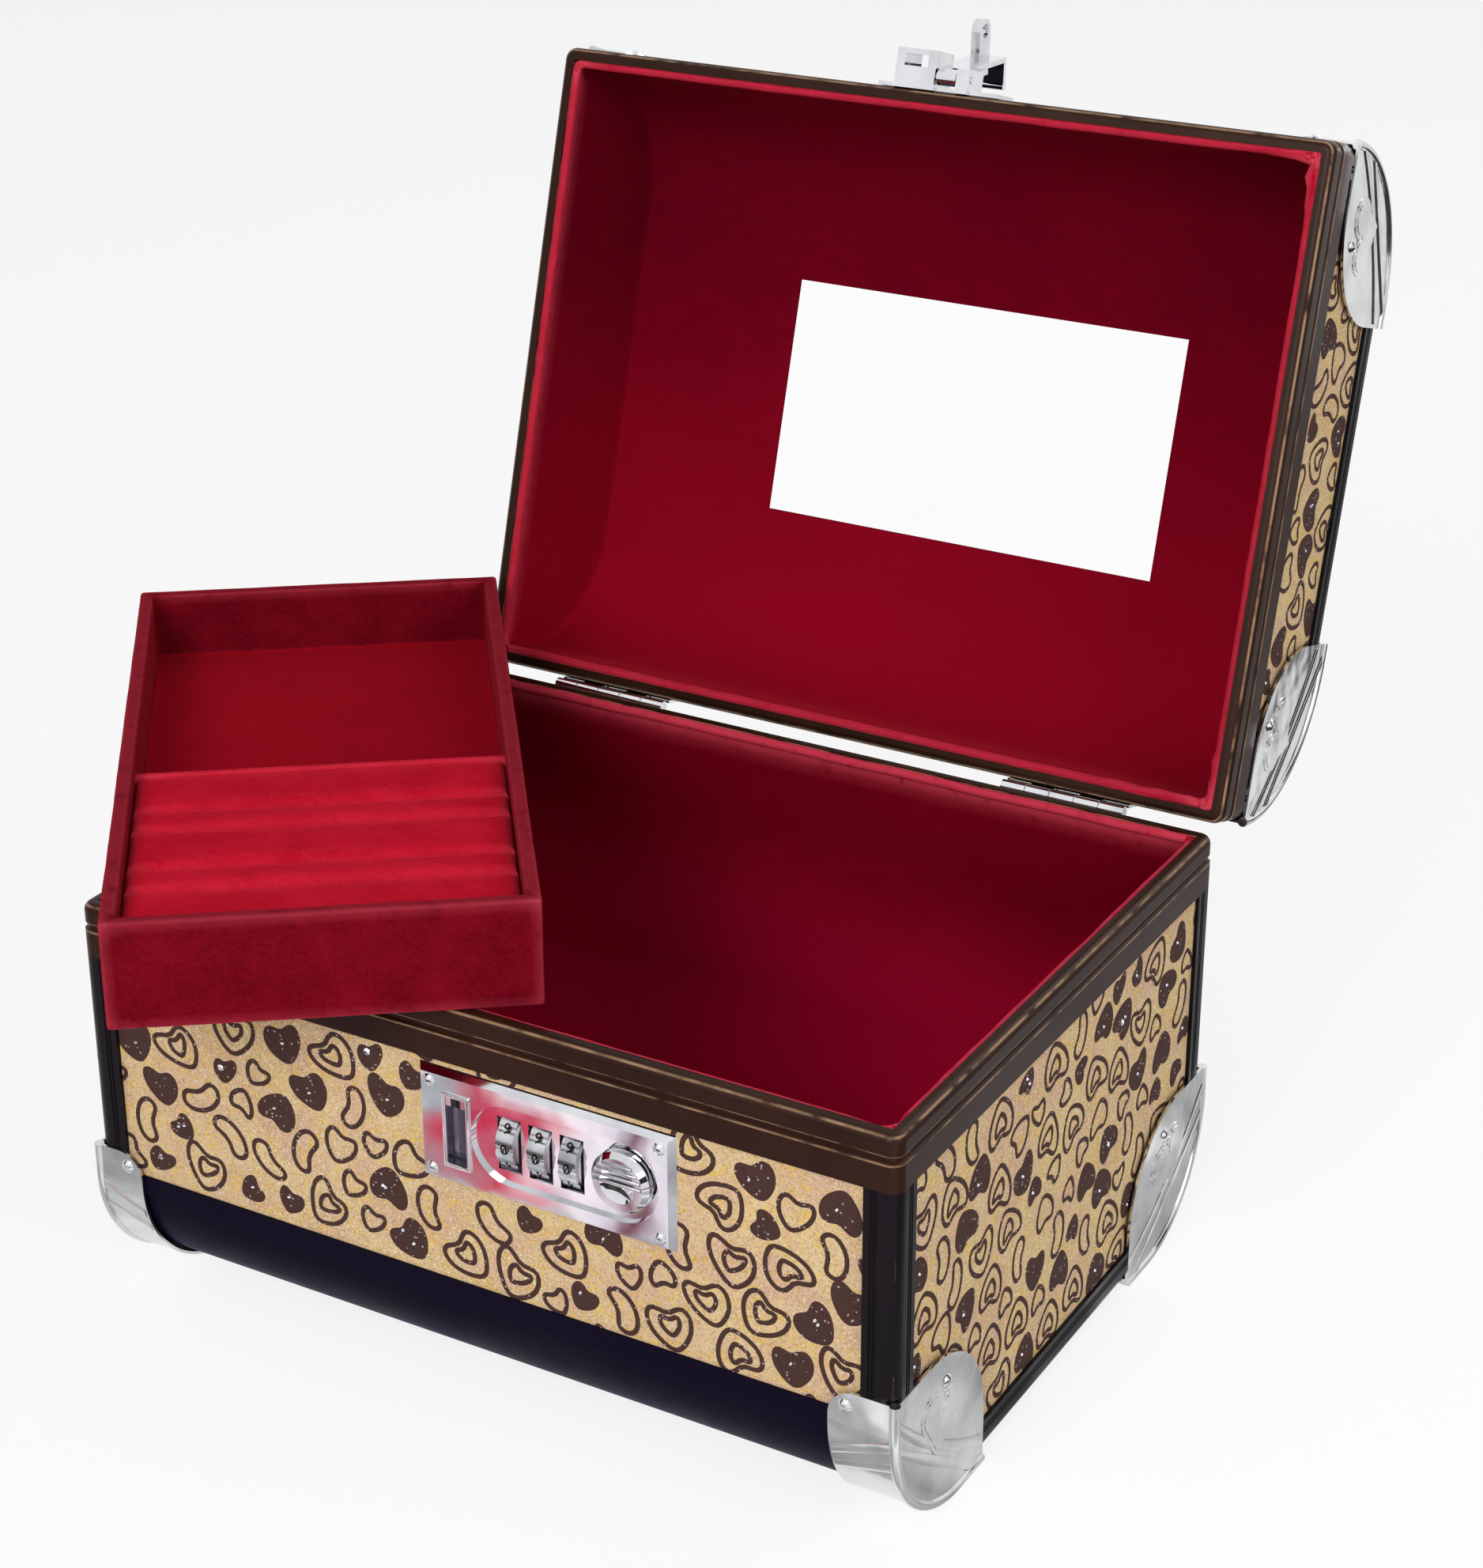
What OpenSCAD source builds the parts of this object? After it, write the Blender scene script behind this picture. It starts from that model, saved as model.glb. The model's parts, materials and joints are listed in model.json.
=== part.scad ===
// Jewellery train case: a box with a rounded floor, a hinged lid with a mirror, a lift-out
// velvet tray, a three-dial lock and a carry handle. Millimetres, +Z up, front towards -Y.
// The case is drawn open, with its tray perched across the front left corner of the rim.

/* [Case] */
// Width of the case over its rims
case_w = 260; // [220:1:300]
// Depth of the case over its rims
case_d = 200; // [190:1:230]
// Depth of the base from the rim line to its underside
base_deep = 126.2; // [115:0.1:150]
// Height of the lid from the rim line to its top
lid_deep = 64.4; // [62:0.1:80]
// Radius of the base's long lower edges
base_r = 38; // [30:1:44]
// Radius of the lid's long upper edges
lid_r = 46; // [42:1:47]
// Angle at which the lid stands open
lid_open = 106.5; // [95:0.5:110]

/* [Frame] */
// Height of the rim's outer band
rim_h = 16.5; // [14:0.5:18]
// Width of each leg of the corner posts and end trims
edge_leg = 10; // [8:0.5:12]
// Sheet thickness of rims, posts and trims, which stand proud of the panels
edge_t = 1.2; // [1:0.1:1.5]
// Thickness of the covered boards
board_t = 2.8; // [2.4:0.1:3]
// Thickness of the velvet lining
lining_t = 1.2; // [0.8:0.1:2]
// Depth below the rim line at which rims and linings stop
rim_gap = 0.2; // [0.15:0.05:0.4]

/* [Corner guards] */
// Sheet thickness of the stamped guards
guard_t = 0.8; // [0.8:0.1:1.2]
// Reach of a guard along the case's depth
guard_reach = 51.5; // [45:0.5:55]
// Reach of a guard along the case's width
guard_wide = 19; // [16:0.5:24]
// The same reach of the front left base guard, which sits further round its corner
guard_wide_near = 15.5; // [14:0.5:24]
// Height of the base guards
base_guard_h = 48; // [42:0.5:52]
// Radius of a guard's fan-shaped corner
fan_r = 32; // [24:1:40]

/* [Lock] */
// Width of the lock plate
plate_w = 80; // [76:1:84]
// Height of the lock plate
plate_h = 35; // [33:1:38]
// Place of the lock plate's centre across the front
plate_x = 25.4; // [20:0.1:30]
// Depth of the lock plate's centre below the rim line
plate_drop = 36.2; // [35:0.1:40]
// Distance the plate stands off the covered board
plate_t = 2.2; // [2:0.1:3]
// Place of the staple and its slot across the front
staple_x = -1.9; // [-2.5:0.1:-1.5]
// Radius of a number dial
dial_r = 9.4; // [9:0.1:9.6]
// Distance between dials
dial_pitch = 9.8; // [9.4:0.1:10]
// Travel of the lock knob
knob_travel = 3.5; // [3.5:0.1:4]

/* [Hinges] */
// Width of each hinge
hinge_w = 40; // [36:1:44]
// Distance of each hinge from the middle of the case
hinge_x = 80; // [60:1:90]
// Outer radius of the hinge knuckles
knuckle_r = 1.95; // [1.8:0.05:2]
// Radius of the hinge pins
hinge_pin_r = 1; // [0.8:0.1:1.1]

/* [Handle] */
// Length of the handle over its eyes
handle_w = 100; // [90:1:110]
// Distance from the handle's pivots to the middle of its grip
handle_drop = 32; // [28:1:34]
// Radius of the grip
grip_r = 6; // [5:0.5:6.2]

/* [Tray] */
// Width of the tray
tray_w = 114; // [100:1:120]
// Length of the tray
tray_d = 235; // [200:1:236]
// Height of the tray
tray_h = 31.3; // [28:0.1:36]
// Thickness of the tray's walls
tray_wall = 4.2; // [4:0.1:6]
// Turn of the perched tray about the upright
tray_turn = 36.8; // [30:0.1:45]
// Place of the tray's near left corner across the case
tray_x = -73.8; // [-80:0.1:-70]
// Place of the tray's near left corner along the case's depth
tray_y = -154.1; // [-160:0.1:-150]

/* [Mirror] */
// Width of the mirror
mirror_w = 137; // [100:1:150]
// Height of the mirror
mirror_d = 76; // [60:1:90]

/* [Hidden] */
$fn = 96;

// Half sizes and the levels that the whole case shares. Depths are counted from the rim line,
// down into the base and up into the lid.
hw = case_w / 2;
hd = case_d / 2;
rim_z = base_deep + guard_t;
board_u = edge_t;
lining_u = edge_t + board_t;
room_u = lining_u + lining_t;
corner_r = lining_u;
web_d = 3;
bead_r = 2.4;
bead_u = 0.2;

// Relief pressed into the guards: rods sunk in the sheet make low folds
fold_r = 3.4;
fold_rise = 0.45;

// Hinge line, just behind and below the rim line, and the start and end of each knuckle
hinge_out = 2;
hinge_drop = 1.6;
hinge_y = hd + hinge_out;
lower_knuckles = [[-20, -12.2], [-3.9, 3.9], [12.2, 20]];
upper_knuckles = [[-11.9, -4.2], [4.2, 11.9]];

// Middle of the mirror on the lid's lining
mirror_x = 4.5;
mirror_y = 1.3;

// Lock: the plate lies on the front board, the dials turn on an axle behind it
plate_face_y = -(hd - board_u + plate_t);
recess_deep = 1.2;
board_face_y = -(hd - board_u);
dial_y = -93.4;
dial_w = 6.4;
dial_x0 = 14.2;
dial_bore_r = 1.55;
axle_r = 1.5;
knob_x = 50.5;
knob_drop = 35;
case_back_y = -82.9;
case_wall = 0.8;
slot_w = 6.5;
slot_top = 26;
slot_low = 46.5;

// Hasp: its pivot stands off the lid's front band
hasp_y = -(hd + 4.4);
hasp_up = 4;
hasp_flip = 166;
hasp_knuckle_r = 2.6;
hasp_pin_r = 1.2;
hasp_x0 = 1.6;
hasp_x1 = 8;
staple_high = -26.8;
staple_low = -34.2;
staple_nose_y = -95.7;

// Handle: pivots over the top panel; the handle hangs straight down while the lid is open
pivot_up = lid_deep - board_u + 6.8;
bracket_x = 52;
eye_r = 4.2;

// Ring bars, front to back: wide pads with narrow rolls between them
bar_widths = [24.4, 12.8, 23, 12.5, 22.6];
bar_gap = 0.5;
bar_top = 26;
tray_floor = 10.5;
tray_rest_gap = 0.05;
bars_deep = bar_widths[0] + bar_widths[1] + bar_widths[2] + bar_widths[3] + bar_widths[4] + 5 * bar_gap;
divider_y = tray_wall + bars_deep;
divider_t = 2.5;

fabric_gold = [0.76, 0.61, 0.38];
metal_brown = [0.17, 0.12, 0.10];
cover_black = [0.10, 0.09, 0.12];
chrome = [0.75, 0.76, 0.78];
velvet_red = [0.45, 0.03, 0.09];
lip_red = [0.62, 0.08, 0.15];

// --- placing -------------------------------------------------------------------------------

// Base parts are drawn with depth upwards and turned over into place
module in_base() {
    translate([0, 0, rim_z]) mirror([0, 0, 1]) children();
}

// Lid parts are drawn as on the closed case, in rim-line depths, and swung open
module in_lid() {
    translate([0, hinge_y, rim_z - hinge_drop]) rotate([-lid_open, 0, 0])
        translate([0, -hinge_y, hinge_drop]) children();
}

// The hasp arm is drawn closed and flipped back over the lid
module in_hasp() {
    in_lid() translate([0, hasp_y, hasp_up]) rotate([-hasp_flip, 0, 0])
        translate([0, -hasp_y, -hasp_up]) children();
}

// The tray is drawn from its near left corner
module in_tray() {
    translate([tray_x, tray_y, rim_z + tray_rest_gap]) rotate([0, 0, tray_turn]) children();
}

// Extrudes an outline drawn in depth (Y) and height (Z) along the width
module along_x(x0, x1) {
    translate([x0, 0, 0]) rotate([90, 0, 90]) linear_extrude(x1 - x0) children();
}

// Extrudes an outline drawn in width (X) and height (Z) from y0 back to y1
module along_y(y0, y1) {
    translate([0, y1, 0]) rotate([90, 0, 0]) linear_extrude(y1 - y0) children();
}

// Keeps a part or gives its mirror image across the case
module side(s) {
    if (s > 0) children();
    else mirror([1, 0, 0]) children();
}

// Keeps a part at the back or gives its mirror image at the front
module end(s) {
    if (s > 0) children();
    else mirror([0, 1, 0]) children();
}

// --- shared outlines -------------------------------------------------------------------------

// End view of the base or lid, drawn inwards by u from the outer face
module case_outline(u, r, deep) {
    translate([-(hd - u), 0]) square([2 * (hd - u), deep - r]);
    translate([-(hd - r), 0]) square([2 * (hd - r), deep - u]);
    for (s = [-1, 1]) translate([s * (hd - r), deep - r]) circle(r - u);
}

// Rim section: outer band, groove and rounded bead, with a web that covers the board's edge.
// X runs inwards from the outer face, Y runs away from the rim line.
module rim_section() {
    intersection() {
        union() {
            translate([bead_u + bead_r, rim_gap + bead_r]) circle(bead_r);
            translate([bead_u, rim_gap + bead_r]) square([lining_u - bead_u, web_d]);
            translate([bead_u + bead_r, rim_gap]) square([lining_u - bead_u - bead_r, web_d]);
        }
        square([lining_u, web_d]);
    }
    polygon([
        [bead_u, rim_gap + bead_r], [bead_u, 6.2], [0.9, 6.8], [0.9, 7.8], [0, 8.4],
        [0, rim_h], [edge_t, rim_h], [edge_t, rim_gap + bead_r]
    ]);
}

// Angle section of the posts and end trims: two legs, a round nose and a groove in each leg
module edge_section() {
    difference() {
        edge_block(0);
        edge_block(edge_t);
        for (p = [[-6.4, 0], [0, -6.4]]) translate(p) circle(0.45);
        for (p = [[-7.6, 0], [0, -7.6]]) translate(p) circle(0.45);
    }
}

module edge_block(t) {
    reach = edge_leg + t;
    translate([-reach, -reach]) square([reach - corner_r, reach - t]);
    translate([-reach, -reach]) square([reach - t, reach - corner_r]);
    translate([-corner_r, -corner_r]) circle(corner_r - t);
}

// --- parts that the base and the lid share -----------------------------------------------------

module rim_frame() {
    run_x = hw - corner_r;
    run_y = hd - corner_r;
    for (s = [-1, 1]) {
        end(s) along_x(-run_x, run_x) translate([hd, 0]) mirror([1, 0]) rim_section();
        side(s) along_y(-run_y, run_y) translate([hw, 0]) mirror([1, 0]) rim_section();
        for (e = [-1, 1]) side(s) end(e) translate([run_x, run_y, 0]) rotate_extrude(angle = 90)
            translate([corner_r, 0]) mirror([1, 0]) rim_section();
    }
}

module end_panel(s, r, deep) {
    side(s) along_x(hw - lining_u, hw - board_u) intersection() {
        case_outline(corner_r, r, deep);
        translate([-hd, web_d]) square([case_d, deep]);
    }
}

// End trim: the angle section bent round the case's end, from one post line to the other
module end_trim(s, r, deep, start) {
    flat = hd - r;
    side(s) {
        along_y(-flat, flat) translate([hw, deep]) edge_section();
        for (e = [-1, 1]) end(e) {
            translate([hw, flat, deep - r]) rotate([90, 0, 90]) rotate_extrude(angle = 90)
                translate([r, 0]) edge_section();
            if (start < deep - r)
                translate([hw, hd, start]) linear_extrude(deep - r - start) edge_section();
        }
    }
}

// Long edge: the covered quarter round, with a thin lip over the covered board
module long_edge(s, r, deep, start) {
    inner_r = r - lining_u + 0.2;
    lip_x = hw - edge_leg;
    end(s) {
        along_x(-(hw - lining_u), hw - lining_u) {
            translate([hd - r, deep - r]) difference() {
                intersection() {
                    circle(r - board_u);
                    square(r);
                }
                circle(inner_r);
            }
            if (start < deep - r)
                translate([hd - lining_u, start]) square([board_t, deep - r - start]);
        }
        if (start >= deep - r) along_x(-lip_x, lip_x) {
            translate([hd - board_u, deep - r - 3]) square([0.6, 6]);
            translate([hd - board_u - 1, deep - r]) square([1.2, 3]);
        }
    }
}

// Stamped guard: a curved leaf over the long edge and a fan-shaped leaf over the end
module corner_guard(s, e, wide, r, deep, start) {
    far = hd + guard_t;
    side(s) end(e) {
        difference() {
            intersection() {
                along_x(hw - wide, hw + guard_t) guard_band(r, deep, start);
                along_y(0, far) guard_window(hw - wide, hw + guard_t, start, deep + guard_t, 8);
            }
            translate([hw - wide + 5, hd - 2, start + 4.5]) rotate([-90, 0, 0]) cylinder(r = 1.25, h = 5);
        }
        difference() {
            along_x(hw, hw + guard_t) fan_outline(r, deep, start, 0);
            translate([hw - 1, hd - 28.5, deep - 38.5]) rotate([0, 90, 0]) cylinder(r = 1.25, h = 3);
        }
        guard_bead(r, deep, start);
        fan_relief(r, deep, start);
        band_relief(wide, r, deep);
    }
}

module guard_band(r, deep, start) {
    difference() {
        intersection() {
            case_outline(-guard_t, r, deep);
            translate([hd - guard_reach, start]) square([guard_reach + guard_t, deep]);
        }
        case_outline(0, r, deep);
    }
}

// Outline of the fan-shaped leaf, drawn inwards by inset
module fan_outline(r, deep, start, inset) {
    intersection() {
        case_outline(inset - guard_t, r, deep);
        guard_window(hd - guard_reach + inset, hd + guard_t, start + inset, deep + guard_t, fan_r - inset);
    }
}

// Window with one rounded corner, at its low and near side
module guard_window(a0, a1, b0, b1, round_r) {
    translate([a0 + round_r, b0]) square([a1 - a0 - round_r, b1 - b0]);
    translate([a0, b0 + round_r]) square([a1 - a0, b1 - b0 - round_r]);
    translate([a0 + round_r, b0 + round_r]) circle(round_r);
}

// Raised bead along the fold between the two leaves, kept off the surface the case stands on
module guard_bead(r, deep, start) {
    out = 0.15;
    bead = 1.5;
    intersection() {
        union() {
            translate([hw + out, hd - r, deep - r]) rotate([90, 0, 90])
                rotate_extrude(angle = 90) translate([r + out, 0]) circle(bead);
            translate([hw + out, hd + out, start]) cylinder(r = bead, h = deep - r - start);
            translate([hw + out, hd - guard_reach, deep + out]) rotate([-90, 0, 0])
                cylinder(r = bead, h = guard_reach - r);
        }
        translate([0, 0, start]) cube([case_w, case_d, deep + guard_t - start]);
    }
}

// Pressed heart and two folds across the fan-shaped leaf
module fan_relief(r, deep, start) {
    axis_x = hw + guard_t + fold_rise - fold_r;
    translate([hw + guard_t - 0.2, hd - 25.5, deep - 31.3]) rotate([90, 0, 90]) rotate([0, 0, 162]) {
        linear_extrude(0.5) heart_outline(0);
        linear_extrude(0.75) heart_outline(1.3);
    }
    intersection() {
        union() {
            translate([axis_x, hd - 112.7, deep - 149.6]) rotate([0, 90, 0])
                rotate_extrude() translate([156, 0]) circle(fold_r);
            translate([axis_x, hd, deep - 33]) rotate([54.8, 0, 0]) cylinder(r = fold_r, h = 60);
        }
        along_x(hw + 0.2, hw + 2) fan_outline(r, deep, start, 1.2);
    }
}

// The folds carried on round the corner, across the curved leaf
module band_relief(wide, r, deep) {
    intersection() {
        for (h = [[28, 35.4], [22, 28.4]])
            rod(fold_end(hw - wide, h[0], r, deep), fold_end(hw + 0.4, h[1], r, deep));
        along_x(hw - wide + 0.8, hw + 0.4) difference() {
            case_outline(-guard_t - 1, r, deep);
            case_outline(-0.2, r, deep);
        }
    }
}

// Middle of a fold's rod under the curved leaf, at height h over the underside
function fold_end(x, h, r, deep) =
    let(turn = asin((r - h) / (r + guard_t)), away = r + guard_t + fold_rise - fold_r)
    [x, hd - r + away * cos(turn), deep - r + away * sin(turn)];

module rod(from, to) {
    run = to - from;
    translate(from) rotate([0, acos(run[2] / norm(run)), atan2(run[1], run[0])])
        cylinder(r = fold_r, h = norm(run));
}

// Heart with its tip towards -Y, drawn inwards by inset. The straight sides end just inside the
// round lobes, so that they cross them at a clear angle.
module heart_outline(inset) {
    lobe_x = 5.6;
    tip = 12.5;
    side = atan2(tip, lobe_x) - asin(6.2 / norm([lobe_x, tip]));
    lobe_r = 6.2 - inset;
    near = lobe_r - 0.12;
    for (s = [-1, 1]) translate([s * lobe_x, 0]) circle(lobe_r);
    polygon([
        [0, inset / cos(side) - tip], [lobe_x + near * sin(side), -near * cos(side)], [lobe_x, 0],
        [-lobe_x, 0], [-lobe_x - near * sin(side), -near * cos(side)]
    ]);
}

module rivet(r = 2.2, rise = 1.1, shank = 0.8) {
    ball = (r * r + rise * rise) / (2 * rise);
    intersection() {
        translate([0, 0, rise - ball]) sphere(ball);
        cylinder(r = r, h = rise);
    }
    translate([0, 0, -shank]) cylinder(r = 1.2, h = shank + 0.2);
}

module guard_rivets(s, e, wide, deep, start) {
    side(s) end(e) {
        translate([hw + guard_t, hd - 28.5, deep - 38.5]) rotate([0, 90, 0]) rivet();
        translate([hw - wide + 5, hd + guard_t, start + 4.5]) rotate([-90, 0, 0]) rivet(shank = 0.7);
    }
}

// Hinge leaf with its knuckles, drawn with the knuckle axis on the X axis and the plate towards +Z
module hinge_leaf(knuckles, foot, bore) {
    half = hinge_w / 2;
    difference() {
        union() {
            translate([-half, -hinge_out, foot]) cube([hinge_w, 0.9, 15 - foot]);
            for (k = knuckles) {
                translate([k[0], -hinge_out, 0]) cube([k[1] - k[0], 0.9, foot]);
                translate([k[0], 0, 0]) rotate([0, 90, 0]) cylinder(r = knuckle_r, h = k[1] - k[0]);
            }
        }
        translate([-half - 1, 0, 0]) rotate([0, 90, 0]) cylinder(r = bore, h = hinge_w + 2);
        for (x = [-13, 0, 13]) translate([x, -3, 10]) rotate([-90, 0, 0]) cylinder(r = 1.25, h = 4);
    }
}

// --- base -------------------------------------------------------------------------------------

module base_front_panel() {
    color(fabric_gold) in_base() difference() {
        board(-1);
        translate([plate_x - plate_w / 2 + 1.6, -hd, plate_drop - plate_h / 2 + 1])
            cube([plate_w - 3.2, 10, plate_h - 2]);
    }
}

module base_back_panel() {
    color(fabric_gold) in_base() board(1);
}

module board(s) {
    end(s) translate([-(hw - lining_u), hd - lining_u, web_d])
        cube([2 * (hw - lining_u), board_t, base_deep - base_r - web_d]);
}

module base_end(s) {
    color(fabric_gold) in_base() end_panel(s, base_r, base_deep);
}

// Bottom board, doubled in the middle where the case stands
module base_bottom_panel() {
    foot_x = hw - guard_wide - 4;
    foot_y = hd - base_r - 6;
    color(cover_black) in_base() {
        translate([-(hw - lining_u), -(hd - base_r), base_deep - lining_u])
            cube([2 * (hw - lining_u), 2 * (hd - base_r), board_t]);
        translate([-foot_x, -foot_y, base_deep - board_u - 0.5]) cube([2 * foot_x, 2 * foot_y, 2.5]);
    }
}

module base_edge(s) {
    color(cover_black) in_base() long_edge(s, base_r, base_deep, base_deep);
}

module base_rim() {
    color(metal_brown) in_base() rim_frame();
}

module base_trim(s) {
    color(metal_brown) in_base() end_trim(s, base_r, base_deep, base_deep);
}

module corner_post(s, e) {
    color(metal_brown) in_base() side(s) end(e) translate([hw, hd, rim_h])
        linear_extrude(base_deep - base_r - rim_h) edge_section();
}

module base_guard(s, e) {
    color(chrome) in_base()
        corner_guard(s, e, base_guard_wide(s, e), base_r, base_deep, base_deep - base_guard_h);
}

function base_guard_wide(s, e) = s < 0 && e < 0 ? guard_wide_near : guard_wide;

module base_lining() {
    color(velvet_red) in_base() difference() {
        lining_shell(base_r, base_deep);
        translate([plate_x - plate_w / 2 + 1.6, -hd, plate_drop - plate_h / 2 + 1])
            cube([plate_w - 3.2, 10, plate_h - 2]);
    }
}

module lining_shell(r, deep) {
    lip = 1.2;
    difference() {
        along_x(-(hw - lining_u), hw - lining_u) intersection() {
            case_outline(lining_u, r, deep);
            translate([-hd, lip]) square([case_d, deep]);
        }
        along_x(-(hw - room_u), hw - room_u) case_outline(room_u, r, deep);
    }
}

module base_floor_pad() {
    pad_t = 3;
    color(velvet_red) in_base() translate([-hw + room_u + 1, -(hd - base_r), base_deep - room_u - pad_t])
        cube([2 * (hw - room_u - 1), 2 * (hd - base_r), pad_t]);
}

module base_rivets() {
    color(chrome) in_base() {
        for (s = [-1, 1]) for (e = [-1, 1])
            guard_rivets(s, e, base_guard_wide(s, e), base_deep, base_deep - base_guard_h);
        for (x = [-1, 1]) for (d = [-1, 1])
            translate([plate_x + x * (plate_w / 2 - 4.1), plate_face_y, plate_drop + d * (plate_h / 2 - 4)])
                rotate([90, 0, 0]) rivet(r = 1.9, rise = 1, shank = 0.9);
        for (s = [-1, 1]) for (x = [-13, 0, 13])
            translate([s * hinge_x + x, hd + 0.9, 10 + hinge_drop])
                rotate([-90, 0, 0]) rivet(r = 1.8, rise = 0.8, shank = 0.7);
    }
}

// --- lock -------------------------------------------------------------------------------------

module lock_plate() {
    color(chrome) in_base() difference() {
        translate([plate_x, board_face_y, plate_drop]) bevelled_plate();
        translate([0, plate_face_y - 1, 0]) {
            translate([0, 1 + recess_deep, 0]) along_y(-5, 0) recess_outline();
            translate([staple_x - slot_w / 2, 0, slot_top]) cube([slot_w, 6, slot_low - slot_top]);
            for (i = [0:2]) translate([dial_x0 + i * dial_pitch - 3.7, 0, plate_drop - 8.1])
                cube([7.4, 6, 16.2]);
            translate([knob_x - knob_travel - 2.7, 0, knob_drop - 3]) cube([knob_travel + 5.9, 6, 6]);
        }
        for (x = [-1, 1]) for (d = [-1, 1])
            translate([plate_x + x * (plate_w / 2 - 4.1), -hd - 4, plate_drop + d * (plate_h / 2 - 4)])
                rotate([-90, 0, 0]) cylinder(r = 1.25, h = 8);
    }
}

// Plate with all four sides sloped, its back on the XZ plane and its face towards -Y
module bevelled_plate() {
    slope = 1.6;
    intersection() {
        translate([-plate_w / 2, 0, 0]) rotate([90, 0, 90]) linear_extrude(plate_w)
            slope_outline(plate_h / 2, slope, true);
        translate([0, 0, -plate_h / 2]) linear_extrude(plate_h) slope_outline(plate_w / 2, slope, false);
    }
}

module slope_outline(half, slope, upright) {
    if (upright) polygon([[0, -half], [0, half], [-plate_t, half - slope], [-plate_t, slope - half]]);
    else polygon([[-half, 0], [half, 0], [half - slope, -plate_t], [slope - half, -plate_t]]);
}

// Racetrack recess round the dials and the knob
module recess_outline() {
    x0 = 2.6;
    x1 = plate_x + plate_w / 2 - 4.5;
    tall = 24;
    translate([x0 + tall / 2, plate_drop - tall / 2]) square([x1 - x0 - tall, tall]);
    for (x = [x0 + tall / 2, x1 - tall / 2]) translate([x, plate_drop]) circle(tall / 2);
}

module lock_case() {
    x0 = plate_x - plate_w / 2 + 2.2;
    x1 = plate_x + plate_w / 2 - 2.2;
    z0 = plate_drop - plate_h / 2 + 1.6;
    z1 = plate_drop + plate_h / 2 - 1.6;
    cheek_x0 = dial_x0 - dial_w / 2 - 2.4;
    cheek_x1 = dial_x0 + 2 * dial_pitch + dial_w / 2 + 1.2;
    color(chrome) in_base() difference() {
        union() {
            difference() {
                translate([x0, board_face_y, z0]) cube([x1 - x0, case_back_y - board_face_y, z1 - z0]);
                translate([x0 + case_wall, board_face_y - 1, z0 + case_wall])
                    cube([x1 - x0 - 2 * case_wall, case_back_y - board_face_y + 1 - case_wall,
                          z1 - z0 - 2 * case_wall]);
            }
            for (x = [cheek_x0, cheek_x1]) translate([x, board_face_y + 1, plate_drop - 5])
                cube([1.2, case_back_y - board_face_y - 1.4, 10]);
        }
        translate([0, dial_y, plate_drop]) rotate([0, 90, 0]) cylinder(r = axle_r + 0.03, h = plate_w);
    }
}

module dial_axle() {
    x0 = dial_x0 - dial_w / 2 - 2.4;
    x1 = dial_x0 + 2 * dial_pitch + dial_w / 2 + 2.4;
    color(chrome) in_base() translate([x0, dial_y, plate_drop]) rotate([0, 90, 0])
        cylinder(r = axle_r, h = x1 - x0);
}

// Number dial: ten faces parted by finger grooves, with a stepped hub on each side
module dial(i) {
    color(chrome) in_base() translate([dial_x0 + i * dial_pitch, dial_y, plate_drop]) rotate([0, 90, 0])
        difference() {
            union() {
                cylinder(r = dial_r, h = dial_w - 1, center = true);
                cylinder(r = dial_r - 1.2, h = dial_w, center = true);
            }
            for (a = [0:9]) rotate([0, 0, a * 36 + 18]) translate([dial_r + 0.7, 0, 0])
                cylinder(r = 1.3, h = dial_w + 1, center = true);
            cylinder(r = dial_bore_r, h = dial_w + 1, center = true);
        }
}

// Knob: a turned button with a dished face, on a stem through the plate
module lock_knob() {
    color(chrome) in_base() translate([knob_x, plate_face_y + recess_deep - 0.3, knob_drop])
        rotate([90, 0, 0]) rotate_extrude() difference() {
            polygon([
                [0, -0.9], [2.4, -0.9], [2.4, 0], [8.4, 0], [8.9, 0.6], [8.9, 2.6], [7.6, 4.2], [0, 4.2]
            ]);
            translate([0, 14.2]) circle(11.4);
        }
}

// Bolt: a bar under the dials that carries the knob at one end and the catch at the other
module lock_bolt() {
    bar_t = 2;
    bar_y = staple_nose_y - bar_t / 2;
    bar_x0 = staple_x - 6;
    eye_drop = -(staple_high + staple_low) / 2;
    color(chrome) in_base() {
        translate([bar_x0, bar_y, 47]) cube([knob_x + 2.5 - bar_x0, bar_t, 2.5]);
        translate([knob_x - 2.5, bar_y, knob_drop - 2.5]) cube([5, bar_t, 14.5]);
        translate([knob_x, board_face_y - 0.1, knob_drop]) rotate([-90, 0, 0])
            cylinder(r = 2.4, h = bar_y - board_face_y + 0.6);
        translate([bar_x0, bar_y, eye_drop - 1.4]) cube([2, bar_t, 48.4 - eye_drop]);
        translate([bar_x0, bar_y, eye_drop - 1.4]) cube([staple_x + 1.6 - bar_x0, bar_t, 2.8]);
    }
}

// --- hinges -----------------------------------------------------------------------------------

module lower_hinge(s) {
    color(chrome) translate([s * hinge_x, hinge_y, rim_z - hinge_drop]) mirror([0, 0, 1])
        hinge_leaf(lower_knuckles, 2.6, hinge_pin_r + 0.02);
}

module upper_hinge(s) {
    color(chrome) in_lid() translate([s * hinge_x, hinge_y, -hinge_drop])
        hinge_leaf(upper_knuckles, 3.1, hinge_pin_r + 0.05);
}

module hinge_pin(s) {
    color(chrome) translate([s * hinge_x - hinge_w / 2, hinge_y, rim_z - hinge_drop])
        rotate([0, 90, 0]) cylinder(r = hinge_pin_r, h = hinge_w);
}

// --- lid --------------------------------------------------------------------------------------

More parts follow.
